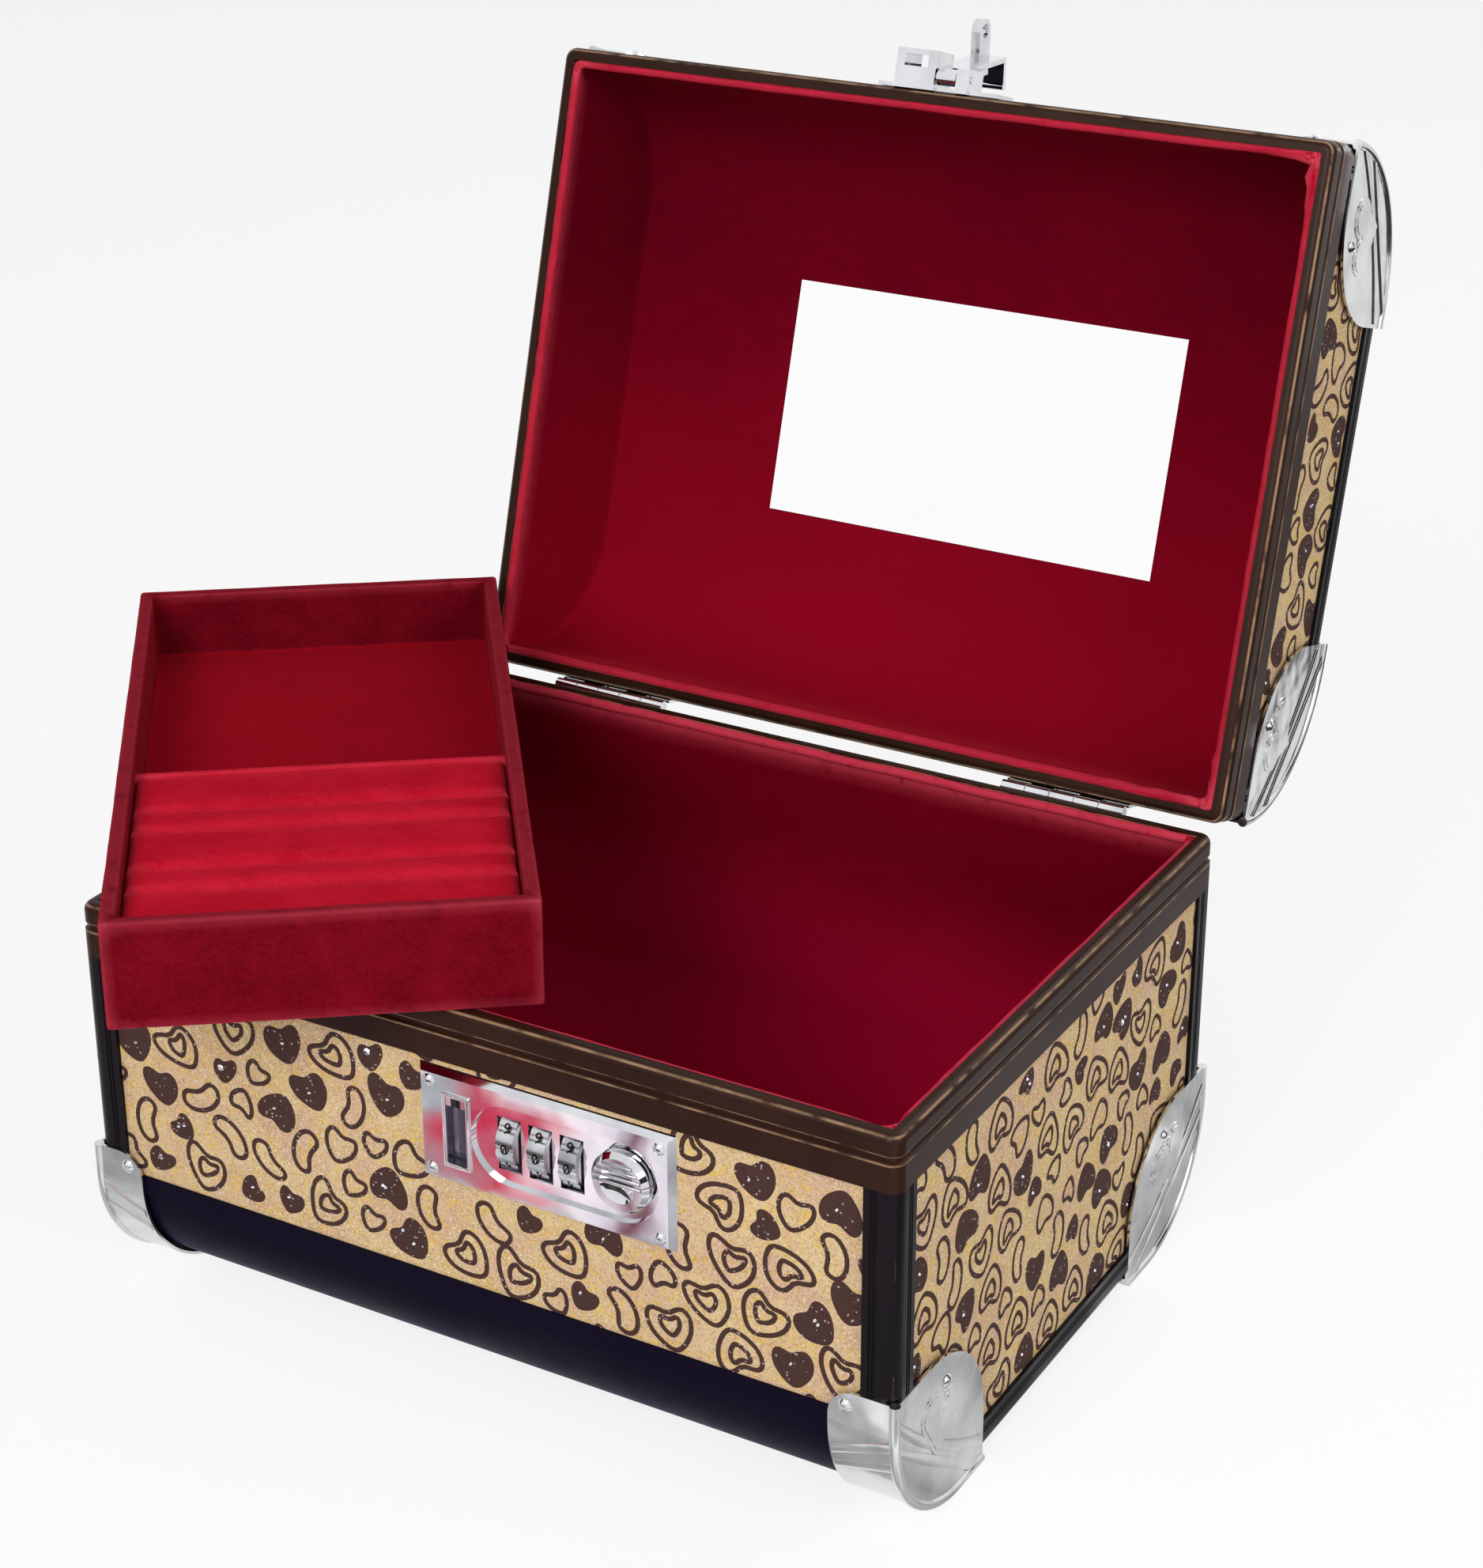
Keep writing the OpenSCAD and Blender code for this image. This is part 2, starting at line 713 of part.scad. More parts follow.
module lid_top_panel() {
    color(fabric_gold) in_lid() translate([-(hw - lining_u), -(hd - lid_r), lid_deep - lining_u])
        cube([2 * (hw - lining_u), 2 * (hd - lid_r), board_t]);
}

module lid_end(s) {
    color(fabric_gold) in_lid() end_panel(s, lid_r, lid_deep);
}

module lid_edge(s) {
    color(cover_black) in_lid() long_edge(s, lid_r, lid_deep, web_d);
}

module lid_rim() {
    color(metal_brown) in_lid() rim_frame();
}

module lid_trim(s) {
    color(metal_brown) in_lid() end_trim(s, lid_r, lid_deep, rim_h);
}

module lid_guard(s, e) {
    color(chrome) in_lid() corner_guard(s, e, guard_wide, lid_r, lid_deep, rim_h + 1);
}

module lid_lining() {
    color(velvet_red) in_lid() difference() {
        lining_shell(lid_r, lid_deep);
        translate([mirror_x - mirror_w / 2, mirror_y - mirror_d / 2, lid_deep - room_u - 2])
            cube([mirror_w, mirror_d, 10]);
    }
}

module mirror_glass() {
    color([0.92, 0.94, 0.96]) in_lid()
        translate([mirror_x - mirror_w / 2, mirror_y - mirror_d / 2, lid_deep - room_u - 0.3])
            cube([mirror_w, mirror_d, lining_t + 0.3]);
}

module lid_rivets() {
    color(chrome) in_lid() {
        for (s = [-1, 1]) for (e = [-1, 1]) guard_rivets(s, e, guard_wide, lid_deep, rim_h + 1);
        for (s = [-1, 1]) for (x = [-13, 0, 13])
            translate([s * hinge_x + x, hd + 0.9, 10 - hinge_drop])
                rotate([-90, 0, 0]) rivet(r = 1.8, rise = 0.8, shank = 0.7);
    }
}

// --- handle -----------------------------------------------------------------------------------

module handle_bracket(s) {
    foot = lid_deep - board_u;
    color(chrome) in_lid() side(s) {
        translate([bracket_x, 0, foot]) {
            translate([-9, -9, 0]) linear_extrude(1.4) translate([9, 9]) {
                square([10, 18], center = true);
                for (e = [-1, 1]) translate([0, e * 9]) circle(5);
            }
            translate([-1.5, 0, 0]) rotate([90, 0, 90]) linear_extrude(3) {
                translate([-5, 0.2]) square([10, pivot_up - foot - 0.2]);
                translate([0, pivot_up - foot]) circle(5);
            }
            translate([-6.8, 0, pivot_up - foot]) rotate([0, 90, 0]) cylinder(r = 1.8, h = 6);
        }
        for (e = [-1, 1]) translate([bracket_x, e * 9, foot + 1.4]) rivet(r = 2, rise = 0.9, shank = 0.2);
    }
}

// Bail handle: two eyes, two arms that turn through round corners, and a swelling grip
module handle() {
    hang = lid_open - 90;
    half = handle_w / 2;
    turn_r = 11;
    color(metal_brown) in_lid() translate([0, 0, pivot_up]) rotate([hang, 0, 0]) difference() {
        union() {
            for (s = [-1, 1]) side(s) {
                translate([half - 5, 0, 0]) rotate([0, 90, 0]) cylinder(r = eye_r, h = 4.8);
                translate([half - 2.6, 0, 0]) rotate([-90, 0, 0])
                    cylinder(r = 2.2, h = handle_drop - turn_r);
                translate([half - 2.6 - turn_r, handle_drop - turn_r, 0]) rotate_extrude(angle = 90)
                    translate([turn_r, 0]) circle(2.2);
            }
            translate([-(half - 2.6 - turn_r), handle_drop, 0]) rotate([0, 90, 0]) rotate_extrude()
                grip_outline(2 * (half - 2.6 - turn_r));
        }
        translate([-half - 1, 0, 0]) rotate([0, 90, 0]) cylinder(r = 1.85, h = handle_w + 2);
    }
}

// Half section of the grip: a shallow barrel with a collar at each end
module grip_outline(len) {
    bow_r = 420;
    polygon([[0, 0], [4.6, 0], [4.6, 3], [grip_r - 1, 3.6], [grip_r - 1, len - 3.6], [4.6, len - 3],
             [4.6, len], [0, len]]);
    intersection() {
        translate([grip_r - bow_r, len / 2]) circle(bow_r, $fn = 720);
        translate([grip_r - 2, 3.6]) square([4, len - 7.2]);
    }
}

// --- hasp -------------------------------------------------------------------------------------

module hasp_mount() {
    band_y = -hd;
    color(chrome) in_lid() difference() {
        union() {
            translate([-18, band_y - 1.2, 2.6]) cube([40, 1.2, 11.8]);
            translate([-12.2, band_y - 11.8, 1.2]) cube([13.4, 11.8, 11.6]);
            translate([8.4, band_y - 7.4, 1.2]) cube([4, 7.4, 10.4]);
        }
        translate([-9.4, band_y - 10.2, 0]) cube([7.8, 3.6, 20]);
        translate([-30, hasp_y, hasp_up]) rotate([0, 90, 0]) cylinder(r = hasp_pin_r + 0.02, h = 60);
    }
}

module hasp_pin() {
    color(chrome) in_lid() translate([-12.6, hasp_y, hasp_up]) rotate([0, 90, 0])
        cylinder(r = hasp_pin_r, h = 25.4);
}

// Hasp arm: a cranked strap with a finger tab, and the staple that enters the lock's slot
module hasp_arm() {
    strap_t = 1.6;
    strap_y = hasp_y - strap_t;
    strap_x0 = staple_x - 5.5;
    strap_x1 = staple_x + 5.5;
    strap_low = staple_low - 4;
    staple_t = 3;
    color(chrome) in_hasp() difference() {
        union() {
            translate([hasp_x0, hasp_y, hasp_up]) rotate([0, 90, 0])
                cylinder(r = hasp_knuckle_r, h = hasp_x1 - hasp_x0);
            along_y(strap_y, hasp_y) {
                translate([hasp_x0, -14]) square([hasp_x1 - hasp_x0, 14 + hasp_up]);
                translate([strap_x0, strap_low]) square([strap_x1 - strap_x0, -11.6 - strap_low]);
                translate([strap_x0, -16]) square([hasp_x1 - strap_x0, 4.4]);
            }
            translate([strap_x0, strap_y - 7.4, strap_low]) cube([strap_x1 - strap_x0, 8, strap_t]);
            translate([strap_x0, strap_y - 7.4, strap_low + strap_t / 2]) rotate([0, 90, 0])
                cylinder(r = 1.3, h = strap_x1 - strap_x0);
            translate([staple_x - staple_t / 2, 0, 0]) rotate([90, 0, 90]) linear_extrude(staple_t)
                staple_outline(hasp_y - 0.8);
        }
        translate([-30, hasp_y, hasp_up]) rotate([0, 90, 0]) cylinder(r = hasp_pin_r + 0.05, h = 60);
    }
}

// Staple: a round-nosed tongue with an eye for the bolt
module staple_outline(root_y) {
    nose_r = (staple_high - staple_low) / 2;
    mid = (staple_high + staple_low) / 2;
    difference() {
        union() {
            translate([root_y, staple_low]) square([staple_nose_y - root_y, 2 * nose_r]);
            translate([staple_nose_y, mid]) circle(nose_r);
        }
        translate([staple_nose_y, mid]) circle(2.1);
    }
}

// --- tray -------------------------------------------------------------------------------------

module tray_box() {
    room_w = tray_w - 2 * tray_wall;
    color(velvet_red) in_tray() difference() {
        cube([tray_w, tray_d, tray_h]);
        translate([tray_wall, tray_wall, tray_floor]) cube([room_w, tray_d - 2 * tray_wall, tray_h]);
        for (y = [0, tray_d]) translate([-1, y, -1.2]) rotate([45, 0, 0]) cube([tray_w + 2, 1.2, 1.2]);
    }
}

module tray_divider() {
    color(lip_red) in_tray() translate([tray_wall, divider_y, tray_floor])
        cube([tray_w - 2 * tray_wall, divider_t, bar_top - tray_floor]);
}

function bar_start(i) = i == 0 ? tray_wall + bar_gap / 2 : bar_start(i - 1) + bar_widths[i - 1] + bar_gap;

// Ring bars: pads with rounded shoulders, set close together
module ring_bars() {
    color(lip_red) in_tray() for (i = [0:4])
        translate([0, bar_start(i), tray_floor]) along_x(tray_wall + 0.2, tray_w - tray_wall - 0.2)
            bar_outline(bar_widths[i], bar_top - tray_floor);
}

module bar_outline(wide, tall) {
    round_r = 3.5;
    translate([0, 0]) square([wide, tall - round_r]);
    translate([round_r, 0]) square([wide - 2 * round_r, tall]);
    for (y = [round_r, wide - round_r]) translate([y, tall - round_r]) circle(round_r);
}

// --- nodes ------------------------------------------------------------------------------------

base_front_panel();
base_back_panel();
base_end(-1);  // base_left_end
base_end(1);  // base_right_end
base_bottom_panel();
base_edge(-1);  // base_front_edge
base_edge(1);  // base_back_edge
base_rim();
base_trim(-1);  // base_left_trim
base_trim(1);  // base_right_trim
corner_post(-1, -1);  // post_front_left
corner_post(1, -1);  // post_front_right
corner_post(-1, 1);  // post_back_left
corner_post(1, 1);  // post_back_right
base_guard(-1, -1);  // base_guard_front_left
base_guard(1, -1);  // base_guard_front_right
base_guard(-1, 1);  // base_guard_back_left
base_guard(1, 1);  // base_guard_back_right
base_lining();
base_floor_pad();
base_rivets();
lock_plate();
lock_case();
dial_axle();
dial(0);  // dial_left
dial(1);  // dial_middle
dial(2);  // dial_right
lock_knob();
lock_bolt();
lower_hinge(-1);  // lower_hinge_left
lower_hinge(1);  // lower_hinge_right
hinge_pin(-1);  // hinge_pin_left
hinge_pin(1);  // hinge_pin_right
lid_top_panel();
lid_end(-1);  // lid_left_end
lid_end(1);  // lid_right_end
lid_edge(-1);  // lid_front_edge
lid_edge(1);  // lid_back_edge
lid_rim();
lid_trim(-1);  // lid_left_trim
lid_trim(1);  // lid_right_trim
lid_guard(-1, -1);  // lid_guard_front_left
lid_guard(1, -1);  // lid_guard_front_right
lid_guard(-1, 1);  // lid_guard_back_left
lid_guard(1, 1);  // lid_guard_back_right
lid_lining();
mirror_glass();  // mirror
lid_rivets();
upper_hinge(-1);  // upper_hinge_left
upper_hinge(1);  // upper_hinge_right
handle_bracket(-1);  // handle_bracket_left
handle_bracket(1);  // handle_bracket_right
handle();
hasp_mount();
hasp_pin();
hasp_arm();
tray_box();
tray_divider();
ring_bars();
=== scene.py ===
"""Dresses a packed jewellery train case: velvet, glitter cloth with hearts, metal and lock details."""
import json
import logging
import math
import random
from collections.abc import Callable, Iterable, Sequence
from contextlib import contextmanager
from dataclasses import dataclass, field
from enum import Enum

import bmesh
import bpy
from mathutils import Matrix, Vector


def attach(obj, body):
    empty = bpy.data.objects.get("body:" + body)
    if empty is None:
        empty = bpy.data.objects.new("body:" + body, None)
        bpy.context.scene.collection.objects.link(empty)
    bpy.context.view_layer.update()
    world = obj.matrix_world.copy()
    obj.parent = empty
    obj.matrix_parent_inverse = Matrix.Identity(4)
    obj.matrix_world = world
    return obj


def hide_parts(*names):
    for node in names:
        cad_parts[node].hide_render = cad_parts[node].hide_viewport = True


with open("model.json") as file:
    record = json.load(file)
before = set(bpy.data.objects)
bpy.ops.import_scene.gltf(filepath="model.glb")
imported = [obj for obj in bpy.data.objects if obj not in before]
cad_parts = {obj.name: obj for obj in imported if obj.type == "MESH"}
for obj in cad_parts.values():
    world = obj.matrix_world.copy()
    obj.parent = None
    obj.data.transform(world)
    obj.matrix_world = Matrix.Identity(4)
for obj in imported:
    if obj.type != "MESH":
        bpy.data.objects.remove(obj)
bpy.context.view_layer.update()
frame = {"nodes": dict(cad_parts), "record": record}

LOG = logging.getLogger("train_case")
MM = 0.001
NEAR = 1e-5
CLOTH_FRAMES = 20

Colour = tuple[float, float, float]
Test = Callable[[Vector], bool]


class Body(str, Enum):
    """The rigid bodies that pieces ride on."""

    CASE = "case"
    LID = "lid"
    BOLT = "bolt"
    WHEEL_LEFT = "wheel_left"
    WHEEL_MIDDLE = "wheel_middle"
    WHEEL_RIGHT = "wheel_right"
    TRAY = "tray"


class Slot(str, Enum):
    """The record's material slots."""

    CLOTH = "glitter_fabric"
    COVER = "dark_cover"
    BROWN = "brown_metal"
    VELVET = "velvet"
    VELVET_LIT = "velvet_lit"
    MIRROR = "mirror_glass"
    GRIP = "handle_grip"
    DIAL = "dial_metal"
    CHROME = "chrome"


def linear(code: str) -> Colour:
    """Turns a six-digit colour code into linear red, green and blue.

    Args:
        code: The colour as a designer writes it, such as "7a0614".

    Returns:
        The three channels in linear light.
    """
    parts = [int(code[i : i + 2], 16) / 255 for i in (0, 2, 4)]
    r, g, b = (c / 12.92 if c <= 0.04045 else ((c + 0.055) / 1.055) ** 2.4 for c in parts)
    return r, g, b


# --- sizes -----------------------------------------------------------------------------------


@dataclass(frozen=True)
class CaseSize:
    """The case's driving sizes, in metres, as in the part's source."""

    half_w: float = 0.130
    half_d: float = 0.100
    rim_z: float = 0.127
    base_deep: float = 0.1262
    lid_deep: float = 0.0644
    base_r: float = 0.038
    lid_r: float = 0.046
    board_u: float = 0.0012
    room_u: float = 0.0052
    hinge_y: float = 0.102
    hinge_z: float = 0.1254
    lid_open: float = 106.5
    tray_turn: float = 36.8
    tray_corner: Colour = (-0.0738, -0.1541, 0.12705)

    def base_place(self) -> Matrix:
        """Takes depths counted down from the rim line into place in the base."""
        return Matrix.Translation((0, 0, self.rim_z)) @ Matrix.Rotation(math.pi, 4, "X")

    def lid_place(self) -> Matrix:
        """Takes heights counted up from the rim line of the closed lid to the open lid."""
        hinge = Vector((0, self.hinge_y, self.hinge_z))
        turn = Matrix.Rotation(-math.radians(self.lid_open), 4, "X")
        closed = Matrix.Translation((0, 0, self.rim_z))
        return Matrix.Translation(hinge) @ turn @ Matrix.Translation(-hinge) @ closed

    def tray_place(self) -> Matrix:
        """Takes the tray's own corner and directions to where it lies on the rim."""
        turn = Matrix.Rotation(math.radians(self.tray_turn), 4, "Z")
        return Matrix.Translation(self.tray_corner) @ turn


SIZE = CaseSize()


# --- modelling helpers -----------------------------------------------------------------------


def only(obj: bpy.types.Object) -> bpy.types.Object:
    """Makes one object the only selected and the active one, and returns it."""
    bpy.ops.object.select_all(action="DESELECT")
    obj.select_set(True)
    bpy.context.view_layer.objects.active = obj
    return obj


@contextmanager
def editing(obj: bpy.types.Object):
    """Opens an object's edit mode with nothing selected, and closes it again.

    Args:
        obj: The mesh object to edit.

    Yields:
        The object's edit mesh.
    """
    only(obj)
    bpy.ops.object.mode_set(mode="EDIT")
    bpy.ops.mesh.select_all(action="DESELECT")
    bpy.ops.mesh.select_mode(type="VERT")
    yield bmesh.from_edit_mesh(obj.data)
    bpy.ops.object.mode_set(mode="OBJECT")


def pick_edges(mesh: bmesh.types.BMesh, test: Test) -> None:
    """Selects the edges both of whose ends pass a test.

    Args:
        mesh: The edit mesh.
        test: Says whether a place belongs to the choice.
    """
    bpy.ops.mesh.select_mode(type="EDGE")
    for edge in mesh.edges:
        edge.select_set(all(test(v.co) for v in edge.verts))
    mesh.select_flush_mode()


def pick_faces(mesh: bmesh.types.BMesh, test: Callable[[bmesh.types.BMFace], bool]) -> None:
    """Selects the faces that pass a test.

    Args:
        mesh: The edit mesh.
        test: Says whether a face belongs to the choice.
    """
    bpy.ops.mesh.select_mode(type="FACE")
    for face in mesh.faces:
        face.select_set(bool(test(face)))


def block(name: str, low: Sequence[float], high: Sequence[float]) -> bpy.types.Object:
    """Adds a box between two corners as a start for a piece.

    Args:
        name: The new object's name.
        low: Its lowest corner.
        high: Its highest corner.

    Returns:
        The new object, at the origin with its place in its mesh.
    """
    bpy.ops.object.select_all(action="DESELECT")
    middle = [(a + b) / 2 for a, b in zip(low, high)]
    size = [b - a for a, b in zip(low, high)]
    bpy.ops.mesh.primitive_cube_add(size=1, location=middle, scale=size)
    obj = bpy.context.object
    obj.name = name
    bpy.ops.object.transform_apply(location=True, rotation=True, scale=True)
    return obj


def finish_with(obj: bpy.types.Object, kind: str, **settings: object) -> None:
    """Adds a modifier with its settings and applies it.

    Args:
        obj: The piece.
        kind: Blender's name for the modifier.
        **settings: The modifier's own values.
    """
    only(obj)
    modifier = obj.modifiers.new("shape", kind)
    for key, value in settings.items():
        setattr(modifier, key, value)
    bpy.ops.object.modifier_apply(modifier=modifier.name)


def fine_grid(obj: bpy.types.Object, step: float) -> None:
    """Cuts a mesh along evenly spaced planes, so that it can swell and fold.

    Args:
        obj: The mesh object.
        step: About how far apart the cuts lie, in metres.
    """
    low = [min(v.co[i] for v in obj.data.vertices) for i in range(3)]
    high = [max(v.co[i] for v in obj.data.vertices) for i in range(3)]
    for axis in range(3):
        normal = [0.0, 0.0, 0.0]
        normal[axis] = 1.0
        count = int((high[axis] - low[axis]) / step)
        for i in range(1, count):
            spot = [0.0, 0.0, 0.0]
            spot[axis] = low[axis] + (high[axis] - low[axis]) * i / count
            with editing(obj):
                bpy.ops.mesh.select_all(action="SELECT")
                bpy.ops.mesh.bisect(plane_co=spot, plane_no=normal)


def uneven(obj: bpy.types.Object, amount: float, grain: float) -> None:
    """Gives a cloth surface the slight unevenness of hand-glued fabric.

    Args:
        obj: The piece, already finely divided.
        amount: The greatest rise, in metres.
        grain: The size of the swellings, in metres.
    """
    texture = bpy.data.textures.new(obj.name + "_swell", "CLOUDS")
    texture.noise_scale = grain
    finish_with(
        obj, "DISPLACE", texture=texture, texture_coords="LOCAL", strength=amount * 2, mid_level=0.5
    )
    bpy.data.textures.remove(texture)


def plump(obj: bpy.types.Object, glued: Test, pressure: float, cap: float) -> None:
    """Swells a padded piece by a short cloth simulation, held where it is glued down and kept within a cap.

    Args:
        obj: The piece, already finely divided.
        glued: Says whether a point is glued down.
        pressure: The padding's push.
        cap: The farthest that a point may move, in metres.
    """
    start = [vertex.co.copy() for vertex in obj.data.vertices]
    group = obj.vertex_groups.new(name="glued")
    group.add([v.index for v in obj.data.vertices if glued(v.co)], 1.0, "REPLACE")
    only(obj)
    cloth = obj.modifiers.new("padding", "CLOTH")
    cloth.settings.vertex_group_mass = group.name
    cloth.settings.use_pressure = True
    cloth.settings.uniform_pressure_force = pressure
    cloth.settings.quality = 6
    cloth.settings.effector_weights.gravity = 0.0
    cloth.point_cache.frame_start, cloth.point_cache.frame_end = 1, CLOTH_FRAMES
    for number in range(1, CLOTH_FRAMES + 1):
        bpy.context.scene.frame_set(number)
    bpy.ops.object.modifier_apply(modifier=cloth.name)
    bpy.context.scene.frame_set(1)
    moved = 0.0
    for vertex, place in zip(obj.data.vertices, start):
        move = vertex.co - place
        moved = max(moved, move.length)
        if move.length > cap:
            vertex.co = place + move.normalized() * cap
    obj.vertex_groups.clear()
    LOG.info("%s swelled by up to %.2f mm", obj.name, min(moved, cap) / MM)


def smooth(obj: bpy.types.Object, angle: float = 38.0) -> None:
    """Shades a piece smoothly up to an angle in degrees between faces."""
    only(obj)
    bpy.ops.object.shade_smooth_by_angle(angle=math.radians(angle))


def outward(obj: bpy.types.Object) -> None:
    """Merges doubled points and turns all faces outwards."""
    with editing(obj):
        bpy.ops.mesh.select_all(action="SELECT")
        bpy.ops.mesh.remove_doubles(threshold=1e-6)
        bpy.ops.mesh.normals_make_consistent(inside=False)


def join(name: str, parts: Sequence[bpy.types.Object]) -> bpy.types.Object:
    """Joins several objects into one.

    Args:
        name: The joined object's name.
        parts: The objects; the first one lives on.

    Returns:
        The joined object.
    """
    bpy.ops.object.select_all(action="DESELECT")
    for part in parts:
        part.select_set(True)
    bpy.context.view_layer.objects.active = parts[0]
    if len(parts) > 1:
        bpy.ops.object.join()
    parts[0].name = name
    return parts[0]


def copy_of(obj: bpy.types.Object, place: Matrix) -> bpy.types.Object:
    """Copies an object with its own mesh and puts the copy's mesh in place.

    Args:
        obj: The object to copy.
        place: Where the copy goes.

    Returns:
        The copy.
    """
    twin = obj.copy()
    twin.data = obj.data.copy()
    twin.data.transform(place)
    bpy.context.scene.collection.objects.link(twin)
    return twin


def remove(*objs: bpy.types.Object) -> None:
    """Removes helper objects with their meshes."""
    for obj in objs:
        data = obj.data
        bpy.data.objects.remove(obj)
        if isinstance(data, bpy.types.Mesh) and data.users == 0:
            bpy.data.meshes.remove(data)


def hand_over(
    obj: bpy.types.Object,
    body: Body,
    material: bpy.types.Material,
    stands_for: Iterable[str] = (),
) -> bpy.types.Object:
    """Gives a finished piece its material and its body, and reports it.

    Args:
        obj: The piece.
        body: The body it rides on.
        material: Its material.
        stands_for: The CAD nodes that it replaces.

    Returns:
        The piece.
    """
    obj.data.materials.clear()
    obj.data.materials.append(material)
    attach(obj, body.value)
    names = list(stands_for)
    if names:
        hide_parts(*names)
    LOG.info("%s: %d faces on %s", obj.name, len(obj.data.polygons), body.value)
    return obj


# --- shader helpers --------------------------------------------------------------------------


class Wires:
    """Adds nodes to a shader tree and joins them up."""

    def __init__(self, tree: bpy.types.NodeTree) -> None:
        """Keeps the tree that nodes are added to."""
        self.tree = tree

    def add(self, kind: str, joins: dict | None = None, **settings: object) -> bpy.types.Node:
        """Adds a node.

        Args:
            kind: The node's type.
            joins: Socket name or number to a value, or to the socket that feeds it.
            **settings: The node's own properties.

        Returns:
            The node.
        """
        node = self.tree.nodes.new(kind)
        for key, value in settings.items():
            setattr(node, key, value)
        for key, value in (joins or {}).items():
            if isinstance(value, bpy.types.NodeSocket):
                self.tree.links.new(value, node.inputs[key])
            else:
                node.inputs[key].default_value = value
        return node

    def maths(self, operation: str, a: object, b: object = 0.0, clamp: bool = False) -> object:
        """Adds a calculation on two values and returns its output."""
        node = self.add("ShaderNodeMath", {0: a, 1: b}, operation=operation, use_clamp=clamp)
        return node.outputs[0]

    def step(self, value: object, low: float, high: float) -> object:
        """Stretches the span from low to high over 0 to 1 and returns the output."""
        node = self.add(
            "ShaderNodeMapRange", {"Value": value, "From Min": low, "From Max": high},
            interpolation_type="SMOOTHSTEP",
        )
        return node.outputs["Result"]

    def mix(self, mask: object, a: object, b: object) -> object:
        """Blends two colours by a mask and returns the output."""
        joins = {"Factor": mask}
        node = self.add("ShaderNodeMix", joins, data_type="RGBA")
        for name, value in (("A", a), ("B", b)):
            socket = [s for s in node.inputs if s.name == name and s.type == "RGBA"][0]
            if isinstance(value, bpy.types.NodeSocket):
                self.tree.links.new(value, socket)
            else:
                socket.default_value = (*value, 1.0) if len(value) == 3 else value
        return [s for s in node.outputs if s.type == "RGBA"][0]

    def noise(self, vector: object, scale: object, detail: float = 2.0, rough: float = 0.5) -> object:
        """Adds a noise pattern and returns its value."""
        joins = {"Vector": vector, "Scale": scale, "Detail": detail, "Roughness": rough}
        return self.add("ShaderNodeTexNoise", joins).outputs["Fac"]

    def stretched(self, vector: object, scale: Sequence[float], turn: Sequence[float] = (0, 0, 0)) -> object:
        """Scales and turns coordinates and returns the result."""
        node = self.add("ShaderNodeMapping", {"Vector": vector, "Scale": scale, "Rotation": turn})
        return node.outputs["Vector"]


def new_group(name: str, inputs: Sequence[tuple[str, float | None]], outputs: Sequence[str]) -> tuple:
    """Starts a shader node group.

    Args:
        name: The group's name.
        inputs: Each input's name and default; None makes a vector input.
        outputs: The names of its value outputs.

    Returns:
        The group, its wires, its input node and its output node.
    """
    tree = bpy.data.node_groups.new(name, "ShaderNodeTree")
    for label, value in inputs:
        kind = "NodeSocketVector" if value is None else "NodeSocketFloat"
        socket = tree.interface.new_socket(label, in_out="INPUT", socket_type=kind)
        if value is not None:
            socket.default_value = value
    for label in outputs:
        tree.interface.new_socket(label, in_out="OUTPUT", socket_type="NodeSocketFloat")
    wires = Wires(tree)
    return tree, wires, wires.add("NodeGroupInput"), wires.add("NodeGroupOutput")


